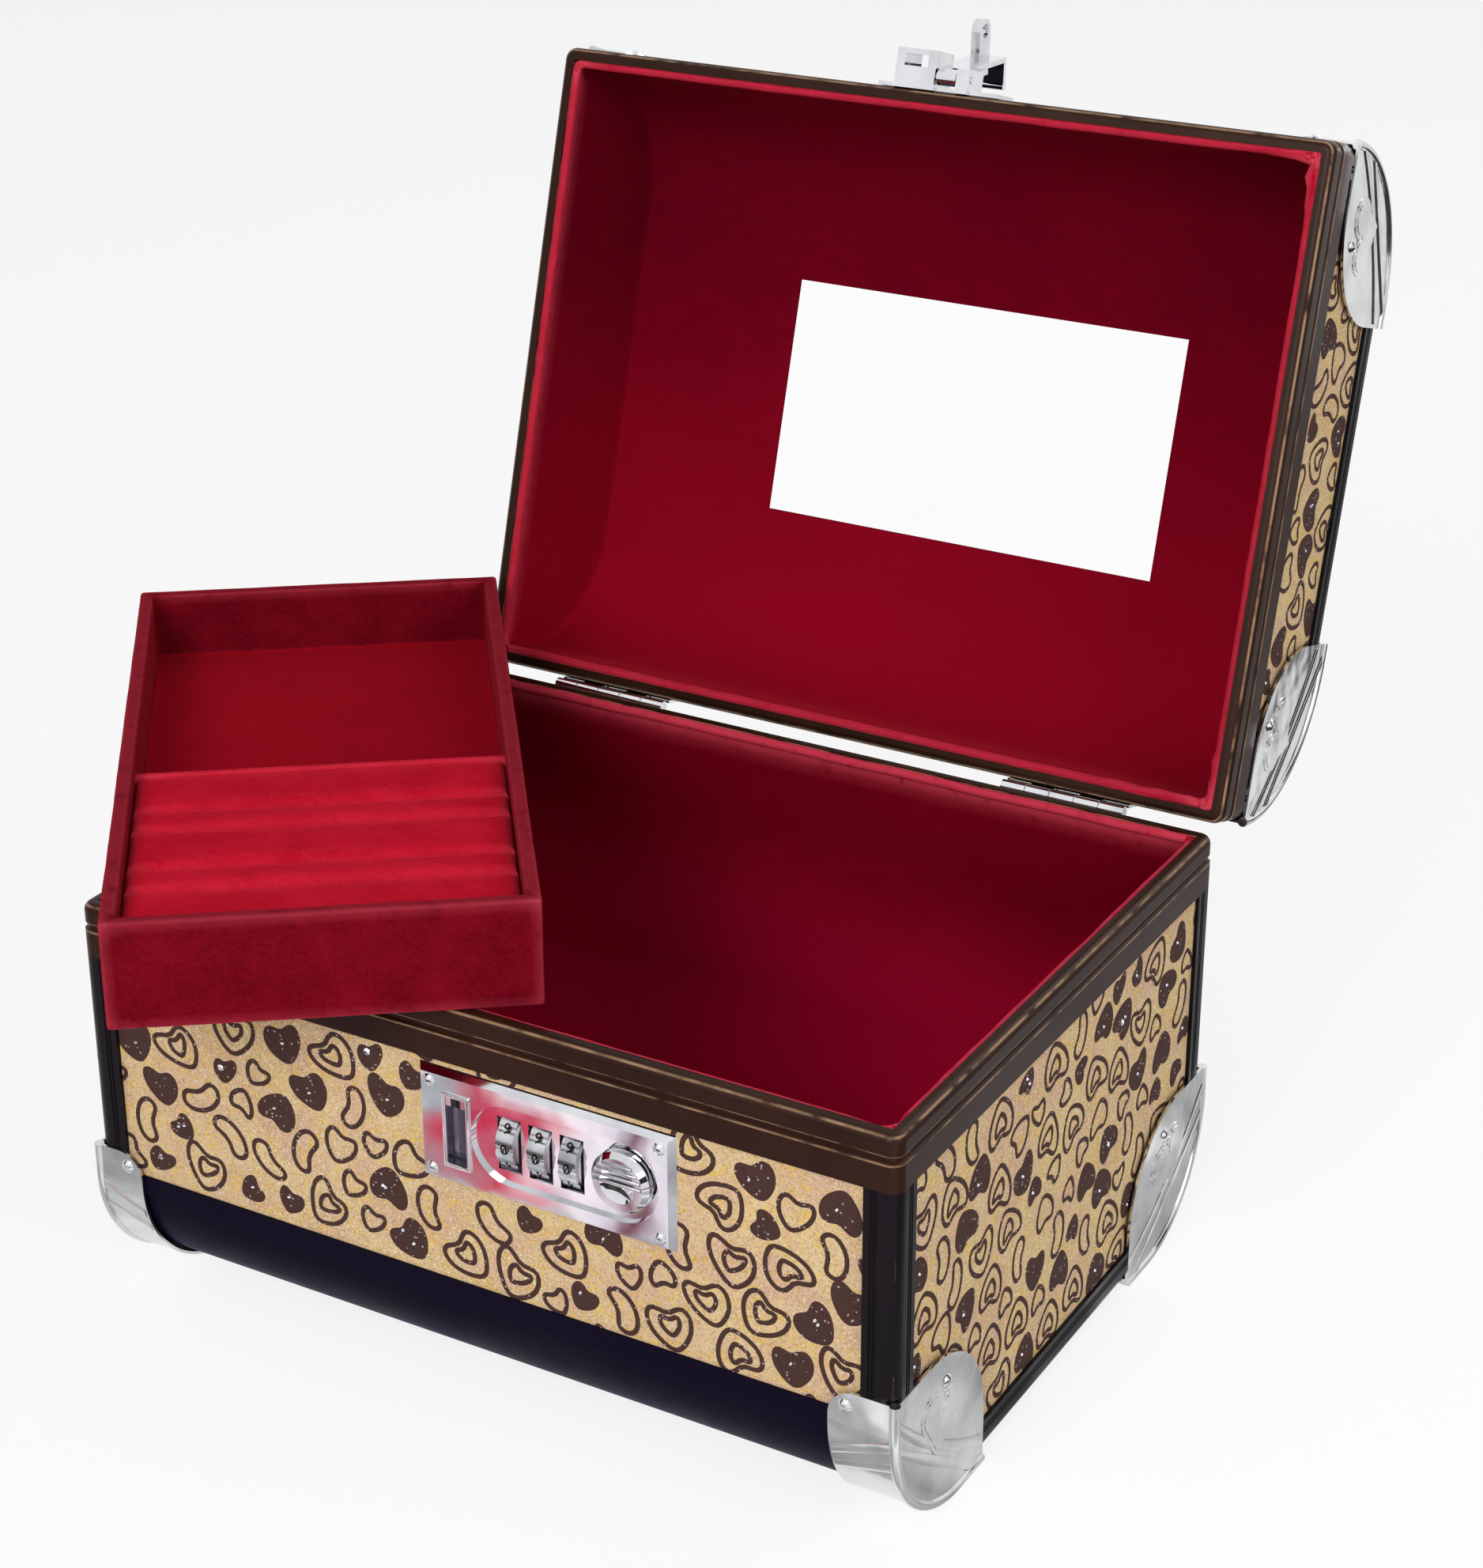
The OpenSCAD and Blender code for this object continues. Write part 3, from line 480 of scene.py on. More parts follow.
class Effects:
    """Shader effects that several finishes share, each built once."""

    def __init__(self) -> None:
        """Builds the groups."""
        self.pile = self._pile()
        self.sparkle = self._sparkle()
        self.wear_and_sheen = self._wear_and_sheen()
        self.drawn = self._drawn()

    @staticmethod
    def _pile() -> bpy.types.NodeTree:
        """Velvet pile: brushed patches and single fibres."""
        tree, w, take, give = new_group(
            "velvet_pile", [("Vector", None), ("Patch", 45.0), ("Fibre", 1300.0)], ["Patches", "Fibres", "Height"]
        )
        vector = take.outputs["Vector"]
        wide = w.noise(vector, take.outputs["Patch"], 4.0, 0.62)
        narrow = w.noise(vector, w.maths("MULTIPLY", take.outputs["Patch"], 9.0), 3.0, 0.6)
        patches = w.maths("ADD", w.maths("MULTIPLY", wide, 0.68), w.maths("MULTIPLY", narrow, 0.32))
        fibres = w.noise(vector, take.outputs["Fibre"], 2.0, 0.7)
        nap = w.noise(w.stretched(vector, (70, 700, 1000)), 1.0, 2.0, 0.6)
        patches = w.maths("ADD", w.maths("MULTIPLY", patches, 0.75), w.maths("MULTIPLY", nap, 0.25))
        height = w.maths("ADD", w.maths("MULTIPLY", fibres, 0.7), w.maths("MULTIPLY", narrow, 0.5))
        w.tree.links.new(w.step(patches, 0.28, 0.72), give.inputs["Patches"])
        w.tree.links.new(w.step(fibres, 0.3, 0.7), give.inputs["Fibres"])
        w.tree.links.new(height, give.inputs["Height"])
        return tree

    @staticmethod
    def _sparkle() -> bpy.types.NodeTree:
        """Glitter: flat flakes of random tilt and brightness in small cells."""
        tree, w, take, give = new_group(
            "glitter_flakes", [("Vector", None), ("Cells", 1700.0), ("Share", 0.2)],
            ["Glints", "Tone", "Height"],
        )
        cells = w.add(
            "ShaderNodeTexVoronoi", {"Vector": take.outputs["Vector"], "Scale": take.outputs["Cells"]}
        )
        split = w.add("ShaderNodeSeparateColor", {"Color": cells.outputs["Color"]})
        limit = w.maths("SUBTRACT", 1.0, take.outputs["Share"])
        glints = w.maths("GREATER_THAN", split.outputs[0], limit)
        w.tree.links.new(glints, give.inputs["Glints"])
        w.tree.links.new(split.outputs[1], give.inputs["Tone"])
        w.tree.links.new(split.outputs[2], give.inputs["Height"])
        return tree

    @staticmethod
    def _wear_and_sheen() -> bpy.types.NodeTree:
        """Convex edges, lighter partly from rubbing of pile or paint and partly as a painted sheen highlight, broken
        up by noise.
        """
        tree, w, take, give = new_group(
            "wear_and_sheen_edges", [("Vector", None), ("Low", 0.51), ("High", 0.6), ("Break", 220.0)], ["Mask"]
        )
        shape = w.add("ShaderNodeNewGeometry")
        span = w.add(
            "ShaderNodeMapRange",
            {"Value": shape.outputs["Pointiness"], "From Min": take.outputs["Low"], "From Max": take.outputs["High"]},
        )
        broken = w.step(w.noise(take.outputs["Vector"], take.outputs["Break"], 3.0, 0.6), 0.1, 0.5)
        mask = w.maths("MULTIPLY", span.outputs["Result"], broken, clamp=True)
        w.tree.links.new(mask, give.inputs["Mask"])
        return tree

    @staticmethod
    def _drawn() -> bpy.types.NodeTree:
        """Metal finish: fine drawn lines along one direction with a few dull patches."""
        tree, w, take, give = new_group(
            "drawn_metal", [("Vector", None), ("Patch", 60.0)], ["Lines", "Patches", "Height"]
        )
        vector = take.outputs["Vector"]
        lines = w.noise(w.stretched(vector, (40, 2400, 2400)), 1.0, 2.0, 0.6)
        patches = w.step(w.noise(vector, take.outputs["Patch"], 3.0, 0.55), 0.35, 0.7)
        wave = w.noise(vector, w.maths("MULTIPLY", take.outputs["Patch"], 1.6), 1.0, 0.4)
        w.tree.links.new(lines, give.inputs["Lines"])
        w.tree.links.new(patches, give.inputs["Patches"])
        w.tree.links.new(wave, give.inputs["Height"])
        return tree


@dataclass(frozen=True)
class Finish:
    """What every finish has: a name and a way to start its material."""

    name: str

    def start(self, **plain: object) -> tuple[bpy.types.Material, Wires, bpy.types.Node, object]:
        """Starts a material with a Principled shader.

        Args:
            **plain: Plain values for the shader's sockets, with underscores for spaces.

        Returns:
            The material, its wires, its shader and its Object coordinates.
        """
        material = bpy.data.materials.new(self.name)
        material.use_nodes = True
        tree = material.node_tree
        tree.nodes.clear()
        wires = Wires(tree)
        shader = wires.add("ShaderNodeBsdfPrincipled")
        for key, value in plain.items():
            shader.inputs[key.replace("_", " ")].default_value = value
        wires.add("ShaderNodeOutputMaterial", {"Surface": shader.outputs[0]})
        place = wires.add("ShaderNodeTexCoord").outputs["Object"]
        return material, wires, shader, place

    @staticmethod
    def effect(wires: Wires, group: bpy.types.NodeTree, **joins: object) -> bpy.types.Node:
        """Places a shared effect and sets or joins its inputs.

        Args:
            wires: The material's wires.
            group: The shared effect.
            **joins: Input name to a value, or to the socket that feeds it.

        Returns:
            The group's node.
        """
        node = wires.add("ShaderNodeGroup", node_tree=group)
        for key, value in joins.items():
            if isinstance(value, bpy.types.NodeSocket):
                wires.tree.links.new(value, node.inputs[key])
            else:
                node.inputs[key].default_value = value
        return node

    @staticmethod
    def bump(wires: Wires, shader: bpy.types.Node, height: object, strength: float, rise: float) -> None:
        """Feeds a height to the shader's normal.

        Args:
            wires: The material's wires.
            shader: The Principled shader.
            height: The height's output.
            strength: From 0 to 1.
            rise: The greatest rise, in metres.
        """
        node = wires.add("ShaderNodeBump", {"Height": height, "Strength": strength, "Distance": rise})
        wires.tree.links.new(node.outputs[0], shader.inputs["Normal"])


@dataclass(frozen=True)
class VelvetFinish(Finish):
    """Short-pile velvet with softly brushed patches, lighter convex edges from rubbing and a painted sheen, and an
    optional painted light that makes it lighter further down.
    """

    dark: str = "68020f"
    lit: str = "760512"
    # Lighter colour for convex edges: pile lightened by rubbing, and a painted sheen highlight.
    rubbed_and_sheen: str = "cf4458"
    sheen: float = 0.2
    patch: float = 18.0
    wear_and_sheen: float = 0.7
    wear_and_sheen_from: float = 0.507
    wear_and_sheen_to: float = 0.57
    # Painted light: an optional lighter tone blended in towards the bottom, by height, and where asked only on faces
    # turned up.
    deep: str | None = None
    painted_light_from: float = 0.11
    painted_light_to: float = 0.04
    painted_light_on_tops: bool = False

    def make(self, effects: Effects) -> bpy.types.Material:
        """Builds the material."""
        material, w, shader, place = self.start(
            Roughness=0.92, Sheen_Weight=self.sheen, Sheen_Roughness=0.35,
            Sheen_Tint=(1.0, 0.06, 0.1, 1.0), Specular_IOR_Level=0.0,
        )
        pile = self.effect(w, effects.pile, Vector=place, Patch=self.patch)
        edges = self.effect(w, effects.wear_and_sheen, Vector=place, Low=self.wear_and_sheen_from, High=self.wear_and_sheen_to)
        tone = w.mix(pile.outputs["Patches"], linear(self.dark), linear(self.lit))
        grain = w.mix(w.maths("MULTIPLY", pile.outputs["Fibres"], 0.5), tone, linear(self.lit))
        # Painted light: the deep tone lightens the lower parts, broken up a little by the pile patches; where asked,
        # only faces turned upwards take it.
        if self.deep:
            down = w.add("ShaderNodeSeparateXYZ", {"Vector": place}).outputs["Z"]
            share = w.maths("ADD", w.step(down, self.painted_light_from, self.painted_light_to), -0.18)
            painted_light_streaks = w.maths("MULTIPLY", pile.outputs["Patches"], 0.18)
            mask = w.maths("ADD", share, painted_light_streaks, clamp=True)
            if self.painted_light_on_tops:
                normal = w.add("ShaderNodeNewGeometry").outputs["Normal"]
                rise = w.add("ShaderNodeSeparateXYZ", {"Vector": normal}).outputs["Z"]
                mask = w.maths("MULTIPLY", mask, w.step(rise, 0.5, 0.9))
            grain = w.mix(mask, grain, linear(self.deep))
        # Convex edges take the lighter colour: partly rubbing of the pile, partly a painted sheen highlight.
        wear_and_sheen = w.mix(w.maths("MULTIPLY", edges.outputs["Mask"], self.wear_and_sheen), grain, linear(self.rubbed_and_sheen))
        w.tree.links.new(wear_and_sheen, shader.inputs["Base Color"])
        self.bump(w, shader, pile.outputs["Height"], 0.45, 0.25 * MM)
        return material


@dataclass(frozen=True)
class GlitterFinish(Finish):
    """Gold cloth covered with fine glitter."""

    pale: str = "ceb384"
    rosy: str = "c5a284"
    yellow: str = "d1ac4e"
    fleck: str = "7a5c3c"
    glint: str = "efe2c4"

    def make(self, effects: Effects) -> bpy.types.Material:
        """Builds the material."""
        material, w, shader, place = self.start(Specular_IOR_Level=0.35)
        fine = self.effect(w, effects.sparkle, Vector=place, Cells=2300.0, Share=0.07)
        coarse = self.effect(w, effects.sparkle, Vector=place, Cells=1000.0, Share=0.35)
        cloud = w.step(w.noise(place, 60.0, 3.0, 0.6), 0.36, 0.64)
        body = w.mix(cloud, linear(self.pale), linear(self.rosy))
        patches = w.maths("MULTIPLY", coarse.outputs["Glints"], w.step(w.noise(place, 150.0, 3.0), 0.4, 0.6))
        gold = w.mix(w.maths("MULTIPLY", patches, 0.75), body, linear(self.yellow))
        dark = w.maths("MULTIPLY", w.step(fine.outputs["Tone"], 0.62, 0.98), 0.45)
        flecks = w.mix(dark, gold, linear(self.fleck))
        bright = w.mix(w.maths("MULTIPLY", fine.outputs["Glints"], 0.7), flecks, linear(self.glint))
        w.tree.links.new(bright, shader.inputs["Base Color"])
        w.tree.links.new(w.maths("MULTIPLY", fine.outputs["Glints"], 0.6), shader.inputs["Metallic"])
        rough = w.maths("SUBTRACT", 0.72, w.maths("MULTIPLY", fine.outputs["Glints"], 0.42))
        w.tree.links.new(rough, shader.inputs["Roughness"])
        height = w.maths("ADD", fine.outputs["Height"], w.maths("MULTIPLY", coarse.outputs["Height"], 0.6))
        self.bump(w, shader, height, 0.5, 0.12 * MM)
        return material


@dataclass(frozen=True)
class FlockFinish(Finish):
    """Dark brown flocking of the hearts, with a few glitter specks."""

    dark: str = "2c1714"
    lit: str = "4d322c"

    def make(self, effects: Effects) -> bpy.types.Material:
        """Builds the material."""
        material, w, shader, place = self.start(Specular_IOR_Level=0.25)
        pile = self.effect(w, effects.pile, Vector=place, Patch=240.0, Fibre=3500.0)
        flakes = self.effect(w, effects.sparkle, Vector=place, Cells=2100.0, Share=0.02)
        tone = w.mix(pile.outputs["Fibres"], linear(self.dark), linear(self.lit))
        colour = w.mix(w.maths("MULTIPLY", flakes.outputs["Glints"], 0.6), tone, (0.6, 0.5, 0.46))
        w.tree.links.new(colour, shader.inputs["Base Color"])
        rough = w.maths("SUBTRACT", 0.85, w.maths("MULTIPLY", flakes.outputs["Glints"], 0.4))
        w.tree.links.new(rough, shader.inputs["Roughness"])
        self.bump(w, shader, pile.outputs["Height"], 0.5, 0.1 * MM)
        return material


@dataclass(frozen=True)
class MetalFinish(Finish):
    """Plated or anodised metal with drawn lines, dull patches and slight waves, and painted highlight lines along a
    rolled rim's edges where their depths are given.
    """

    tone: str = "e2e3e6"
    dull: str = "cdced2"
    rough: float = 0.04
    rough_more: float = 0.05
    metallic: float = 1.0
    wave: float = 0.25
    wave_rise: float = 0.25
    patch: float = 60.0
    specular: float = 0.5
    # Painted highlight: thin lighter lines at these depths from the rim line, measured in the frame below.
    highlight_depths: tuple[float, ...] = ()
    painted_highlight_tone: str = "a98768"
    frame_of: Matrix | None = None

    def painted_highlight_lines(self, wires: Wires, place: object) -> object:
        """Paints thin highlight lines along a rolled rim's edges, at given depths from its rim line.

        Args:
            wires: The material's wires.
            place: The Object coordinates.

        Returns:
            The output of the mask, 1 on the lines.
        """
        back = self.frame_of.inverted()
        own = wires.add(
            "ShaderNodeMapping", {"Vector": place, "Location": back.translation, "Rotation": back.to_euler()}
        )
        depth = wires.add("ShaderNodeSeparateXYZ", {"Vector": own.outputs[0]}).outputs["Z"]
        total: object = 0.0
        for level in self.highlight_depths:
            away = wires.maths("ABSOLUTE", wires.maths("SUBTRACT", depth, level))
            total = wires.maths("ADD", total, wires.step(away, 0.4 * MM, 0.1 * MM), clamp=True)
        broken = wires.step(wires.noise(place, 120.0, 3.0), 0.3, 0.6)
        return wires.maths("MULTIPLY", total, wires.maths("MULTIPLY", broken, 0.7))

    def make(self, effects: Effects) -> bpy.types.Material:
        """Builds the material."""
        material, w, shader, place = self.start(Metallic=self.metallic, Specular_IOR_Level=self.specular)
        metal = self.effect(w, effects.drawn, Vector=place, Patch=self.patch)
        colour = w.mix(metal.outputs["Patches"], linear(self.tone), linear(self.dull))
        # Painted highlight lines along the rim's edges.
        if self.frame_of:
            colour = w.mix(self.painted_highlight_lines(w, place), colour, linear(self.painted_highlight_tone))
        w.tree.links.new(colour, shader.inputs["Base Color"])
        extra = w.maths("MULTIPLY", metal.outputs["Lines"], self.rough_more)
        w.tree.links.new(w.maths("ADD", extra, self.rough), shader.inputs["Roughness"])
        self.bump(w, shader, metal.outputs["Height"], self.wave, self.wave_rise * MM)
        return material


@dataclass(frozen=True)
class CoverFinish(Finish):
    """Dark smooth covering of the rounded edges, with a painted bluish reflection where it turns under."""

    top: str = "100c1e"
    # The under colour is a painted bluish reflection, blended in low down.
    under: str = "10164e"
    low: float = 0.002
    high: float = 0.024
    specular: float = 0.02

    def make(self, effects: Effects) -> bpy.types.Material:
        """Builds the material."""
        material, w, shader, place = self.start(Specular_IOR_Level=self.specular)
        split = w.add("ShaderNodeSeparateXYZ", {"Vector": place})
        # Painted reflection: the bluish tone fades in towards the bottom and is broken up by noise.
        turn = w.step(split.outputs["Z"], self.high, self.low)
        cloud = w.noise(place, 90.0, 3.0, 0.6)
        painted_reflection = w.maths("MULTIPLY", turn, w.step(cloud, 0.25, 0.7))
        colour = w.mix(painted_reflection, linear(self.top), linear(self.under))
        w.tree.links.new(colour, shader.inputs["Base Color"])
        grain = w.add("ShaderNodeTexVoronoi", {"Vector": place, "Scale": 1500.0})
        rough = w.maths("ADD", 0.36, w.maths("MULTIPLY", cloud, 0.2))
        w.tree.links.new(rough, shader.inputs["Roughness"])
        height = w.maths("ADD", grain.outputs["Distance"], w.maths("MULTIPLY", cloud, 2.0))
        self.bump(w, shader, height, 0.25, 0.1 * MM)
        return material


@dataclass(frozen=True)
class MirrorFinish(Finish):
    """Silvered glass with a faint haze."""

    def make(self, effects: Effects) -> bpy.types.Material:
        """Builds the material."""
        material, w, shader, place = self.start(Metallic=1.0)
        haze = w.step(w.noise(place, 25.0, 4.0, 0.6), 0.55, 0.9)
        w.tree.links.new(w.mix(haze, (0.97, 0.97, 0.98), (0.93, 0.94, 0.95)), shader.inputs["Base Color"])
        rough = w.maths("ADD", 0.012, w.maths("MULTIPLY", haze, 0.03))
        w.tree.links.new(rough, shader.inputs["Roughness"])
        return material


@dataclass(frozen=True)
class GemFinish(Finish):
    """Bright foiled crystal."""

    def make(self, effects: Effects) -> bpy.types.Material:
        """Builds the material."""
        material, w, shader, place = self.start(Metallic=0.85, Coat_Weight=1.0, Coat_Roughness=0.02)
        flakes = self.effect(w, effects.sparkle, Vector=place, Cells=1400.0, Share=0.5)
        tone = w.mix(flakes.outputs["Tone"], (0.95, 0.97, 1.0), (0.7, 0.78, 0.95))
        w.tree.links.new(tone, shader.inputs["Base Color"])
        rough = w.maths("ADD", 0.05, w.maths("MULTIPLY", flakes.outputs["Glints"], 0.1))
        w.tree.links.new(rough, shader.inputs["Roughness"])
        return material


class Palette:
    """All the materials of the case."""

    def __init__(self) -> None:
        """Builds the shared effects and the materials."""
        fx = Effects()
        # The deep tones are painted light: the linings' lower parts, the floor pad and the tray floor are made
        # lighter.
        self.velvet = VelvetFinish("base_velvet", dark="640213", lit="700517", deep="a20a30").make(fx)
        self.lid_velvet = VelvetFinish(
            "lid_velvet", dark="580216", lit="680518", deep="8e0920", painted_light_from=0.28, painted_light_to=0.13
        ).make(fx)
        # Painted light: a lighter, shinier copy of the velvet for the rolled lip, which catches the light along the
        # rim.
        self.lip_velvet_painted_lit = VelvetFinish("lip_velvet_painted_lit", dark="8c081a", lit="b01830", patch=60.0, sheen=0.4).make(fx)
        self.tray_velvet = VelvetFinish(
            "tray_velvet", dark="4c0310", lit="760c1b", rubbed_and_sheen="e8586c", wear_and_sheen=0.55, patch=70.0,
            wear_and_sheen_from=0.506, wear_and_sheen_to=0.6, sheen=0.3, deep="960c1c", painted_light_from=0.1402, painted_light_to=0.1388, painted_light_on_tops=True,
        ).make(fx)
        # Painted light: a lighter copy of the velvet for the ring bars and the divider, whose tops catch the light.
        self.bar_velvet_painted_lit = VelvetFinish(
            "bar_velvet_painted_lit", dark="9c081c", lit="bc182e", rubbed_and_sheen="d84458", patch=70.0, sheen=0.35, wear_and_sheen=0.45
        ).make(fx)
        self.cloth = GlitterFinish("glitter_cloth").make(fx)
        self.flock = FlockFinish("heart_flock").make(fx)
        self.chrome = MetalFinish("bright_chrome").make(fx)
        self.guard = MetalFinish(
            "stamped_chrome", tone="dcdddd", dull="c2c3c4", rough=0.12, wave=0.5, wave_rise=0.6, patch=70.0
        ).make(fx)
        self.dial = MetalFinish("dial_chrome", tone="dcdde0", dull="9fa1a5", rough=0.14, rough_more=0.12).make(fx)
        # The rims carry painted highlight lines along their bead and step edges.
        self.rims = {
            body: MetalFinish(
                f"brown_anodised_{body.value}", tone="27120a", dull="2f190f", rough=0.3, rough_more=0.14,
                metallic=0.12, wave=0.08, wave_rise=0.06, patch=25.0, specular=0.14,
                highlight_depths=(0.9 * MM, 6.3 * MM, 8.6 * MM), frame_of=place,
            ).make(fx)
            for body, place in ((Body.CASE, SIZE.base_place()), (Body.LID, SIZE.lid_place()))
        }
        self.black = MetalFinish(
            "black_anodised", tone="0c090d", dull="110d13", rough=0.28, rough_more=0.12, metallic=0.04,
            wave=0.06, wave_rise=0.06, patch=25.0, specular=0.12,
        ).make(fx)
        # Painted reflection: a pale, rough colour for the lock case stands in for the bright reflections in its
        # plated recess.
        self.painted_reflection_lock = MetalFinish(
            "lock_case_painted_reflection", tone="f2ebf8", dull="dcd4e6", rough=0.5, metallic=0.1, specular=0.3
        ).make(fx)
        self.cover = CoverFinish("base_cover").make(fx)
        self.lid_cover = CoverFinish("lid_cover", low=-0.02, high=-0.01).make(fx)
        self.grip = CoverFinish("grip_cover", top="1d100c", under="1d100c").make(fx)
        self.mirror = MirrorFinish("silvered_glass").make(fx)
        self.gem = GemFinish("crystal").make(fx)
        self.enamel = CoverFinish("numeral_enamel", top="08080a", under="08080a").make(fx)


# --- cloth pattern ---------------------------------------------------------------------------


class Motif(str, Enum):
    """The shapes scattered over the glitter cloth."""

    LINE = "line_heart"
    NESTED = "nested_heart"
    BEAN = "bean"
    SOLID = "solid_heart"


@dataclass(frozen=True)
class Panel:
    """A flat cloth panel: its origin, its directions, its reach and its rounded corners."""

    name: str
    origin: tuple[float, float, float]
    across: tuple[float, float, float]
    up: tuple[float, float, float]
    half: float
    low: float
    high: float
    round_r: float
    round_low: bool
    seed: int
    keep_out: tuple[float, float, float, float] | None = None
    turned: bool = False

    def place(self) -> Matrix:
        """The matrix from the panel's own plane to the case."""
        across, up = Vector(self.across), Vector(self.up)
        out = across.cross(up)
        turn = Matrix((across, up, out)).transposed().to_4x4()
        return Matrix.Translation(self.origin) @ turn

    def inside(self, x: float, y: float, spare: float) -> bool:
        """Says whether a place is on the panel, with some room to its straight edges."""
        return abs(x) < self.half - spare and self.low + spare < y < self.high - spare

    def holds(self, x: float, y: float, reach: float) -> bool:
        """Says whether a motif's middle may lie at a place on the panel.

        Args:
            x: The place across the panel.
            y: The place up the panel.
            reach: How far the motif goes from its middle.

        Returns:
            Whether it stays clear of the lock's windows and of the rounded corners. Straight edges
            cut it off instead, under the trims.
        """
        if not self.inside(x, y, 0.5 * MM):
            return False
        if self.keep_out:
            x0, x1, y0, y1 = self.keep_out
            if x0 - reach < x < x1 + reach and y0 - reach < y < y1 + reach:
                return False
        if self.round_r:
            side = abs(x) - (self.half - self.round_r)
            rise = (self.low + self.round_r - y) if self.round_low else (y - (self.high - self.round_r))
            if side > 0 and rise > 0 and math.hypot(side, rise) > self.round_r - reach:
                return False
        return True


@dataclass(frozen=True)
class Stroke:
    """One kind of motif: half its width, the room it keeps clear and how often it comes."""

    kind: Motif
    reach: float
    clear: float
    share: int


@dataclass
class HeartCloth:
    """The hearts and crystals on the glitter cloth, modelled once and copied over each panel."""

    line: float = 1.05 * MM
    rise: float = 0.12 * MM
    sink: float = 0.05 * MM
    room: float = 190e-6
    rounds: int = 110
    strokes: tuple[Stroke, ...] = (
        Stroke(Motif.NESTED, 8.7 * MM, 8.5 * MM, 5),
        Stroke(Motif.BEAN, 8.0 * MM, 7.2 * MM, 3),
        Stroke(Motif.SOLID, 7.2 * MM, 7.0 * MM, 4),
        Stroke(Motif.LINE, 7.1 * MM, 6.9 * MM, 1),
        Stroke(Motif.LINE, 5.4 * MM, 5.2 * MM, 4),
        Stroke(Motif.SOLID, 5.0 * MM, 4.9 * MM, 3),
    )
    kinds: dict = field(default_factory=dict)
    gem: bpy.types.Object | None = None

    def outline(self, kind: Motif, reach: float, rng: random.Random) -> list[tuple[float, float]]:
        """Gives a hand-drawn outline.

        Args:
            kind: The motif.
            reach: Half its width, or half its height for a bean, in metres.
            rng: The seeded source of its unevenness.

        Returns:
            The outline's points, anticlockwise.
        """
        a1, a2 = rng.uniform(-0.07, 0.07), rng.uniform(-0.05, 0.05)
        shift, skew = rng.uniform(0, 6.28), rng.uniform(-0.16, 0.16)
        points = 28 if reach > 4.2 * MM else 20
        places = []
        for i in range(points):
            t = -2 * math.pi * (i + 0.5) / points
            if kind is Motif.BEAN:
                x, y = 0.66 * math.cos(t), math.sin(t)
                x -= max(math.cos(t), 0) * 0.46 * math.exp(-((y / 0.42) ** 2))
            else:
                top, tip = math.acos(math.cos(t)), math.acos(-math.cos(t))
                far = 1 - 0.6 * math.exp(-((top / 0.46) ** 2)) + 0.18 * math.exp(-((tip / 0.4) ** 2))
                x = far * math.sin(t) * (0.93 + 0.11 * math.cos(t))
                y = 0.06 + 0.95 * far * math.cos(t)
            wobble = 1 + a1 * math.sin(t + shift) + a2 * math.cos(2 * t - shift)
            places.append((reach * (x + skew * y) * wobble, reach * y * wobble))
        for _ in range(2):
            around = zip(places[-1:] + places[:-1], places, places[1:] + places[:1])
            places = [((a[0] + 2 * b[0] + c[0]) / 4, (a[1] + 2 * b[1] + c[1]) / 4) for a, b, c in around]
        area = sum(a[0] * b[1] - b[0] * a[1] for a, b in zip(places, places[1:] + places[:1]))
        return places if area > 0 else places[::-1]

    def shaped_disc(self, name: str, places: list[tuple[float, float]]) -> bpy.types.Object:
        """Adds a filled circle and moves its points onto an outline, just inside the cloth."""
        bpy.ops.object.select_all(action="DESELECT")
        bpy.ops.mesh.primitive_circle_add(vertices=len(places), radius=0.01, fill_type="NGON")
        obj = bpy.context.object
        obj.name = name
        for vertex, (x, y) in zip(obj.data.vertices, places):
            vertex.co = (x, y, -self.sink)
        return obj

    def drawn_line(self, name: str, places: list[tuple[float, float]]) -> bpy.types.Object:
        """Models one raised line along an outline, closed underneath."""
        obj = self.shaped_disc(name, places)
        with editing(obj) as mesh:
            pick_faces(mesh, lambda f: True)
            bpy.ops.mesh.inset(thickness=self.line, depth=self.rise + self.sink)
            bpy.ops.mesh.inset(thickness=self.line, depth=-self.rise - self.sink)
            bpy.ops.mesh.delete(type="FACE")
            bpy.ops.mesh.select_mode(type="EDGE")
            bpy.ops.mesh.select_all(action="DESELECT")
            mesh = bmesh.from_edit_mesh(obj.data)
            for edge in mesh.edges:
                edge.select_set(edge.is_boundary)
            bpy.ops.mesh.bridge_edge_loops()
        outward(obj)
        return obj

    def filled(self, name: str, places: list[tuple[float, float]]) -> bpy.types.Object:
        """Models one low raised shape with sloping sides."""
        obj = self.shaped_disc(name, places)
        with editing(obj) as mesh:
            pick_faces(mesh, lambda f: True)
            bpy.ops.mesh.extrude_region_move(TRANSFORM_OT_translate={"value": (0, 0, 0)})
            bpy.ops.mesh.inset(thickness=self.line / 2, depth=self.rise + self.sink)
        outward(obj)
        return obj

    def motif(self, stroke: Stroke, label: str, rng: random.Random) -> bpy.types.Object:
        """Models one variant of a motif.

        Args:
            stroke: The motif's kind and reach.
            label: The variant's name.
            rng: The seeded source of its unevenness.

        Returns:
            The variant, lying on the panel's plane.
        """
        outline = self.outline(stroke.kind, stroke.reach, rng)
        if stroke.kind is Motif.SOLID:
            return self.filled(label, outline)
        obj = self.drawn_line(label, outline)
        if stroke.kind is Motif.NESTED:
            inner = self.drawn_line(label + "_in", self.outline(stroke.kind, 0.52 * stroke.reach, rng))
            inner.data.transform(Matrix.Translation((rng.uniform(-0.4, 0.4) * MM, 0.3 * MM, 0)))
            obj = join(label, [obj, inner])
        return obj

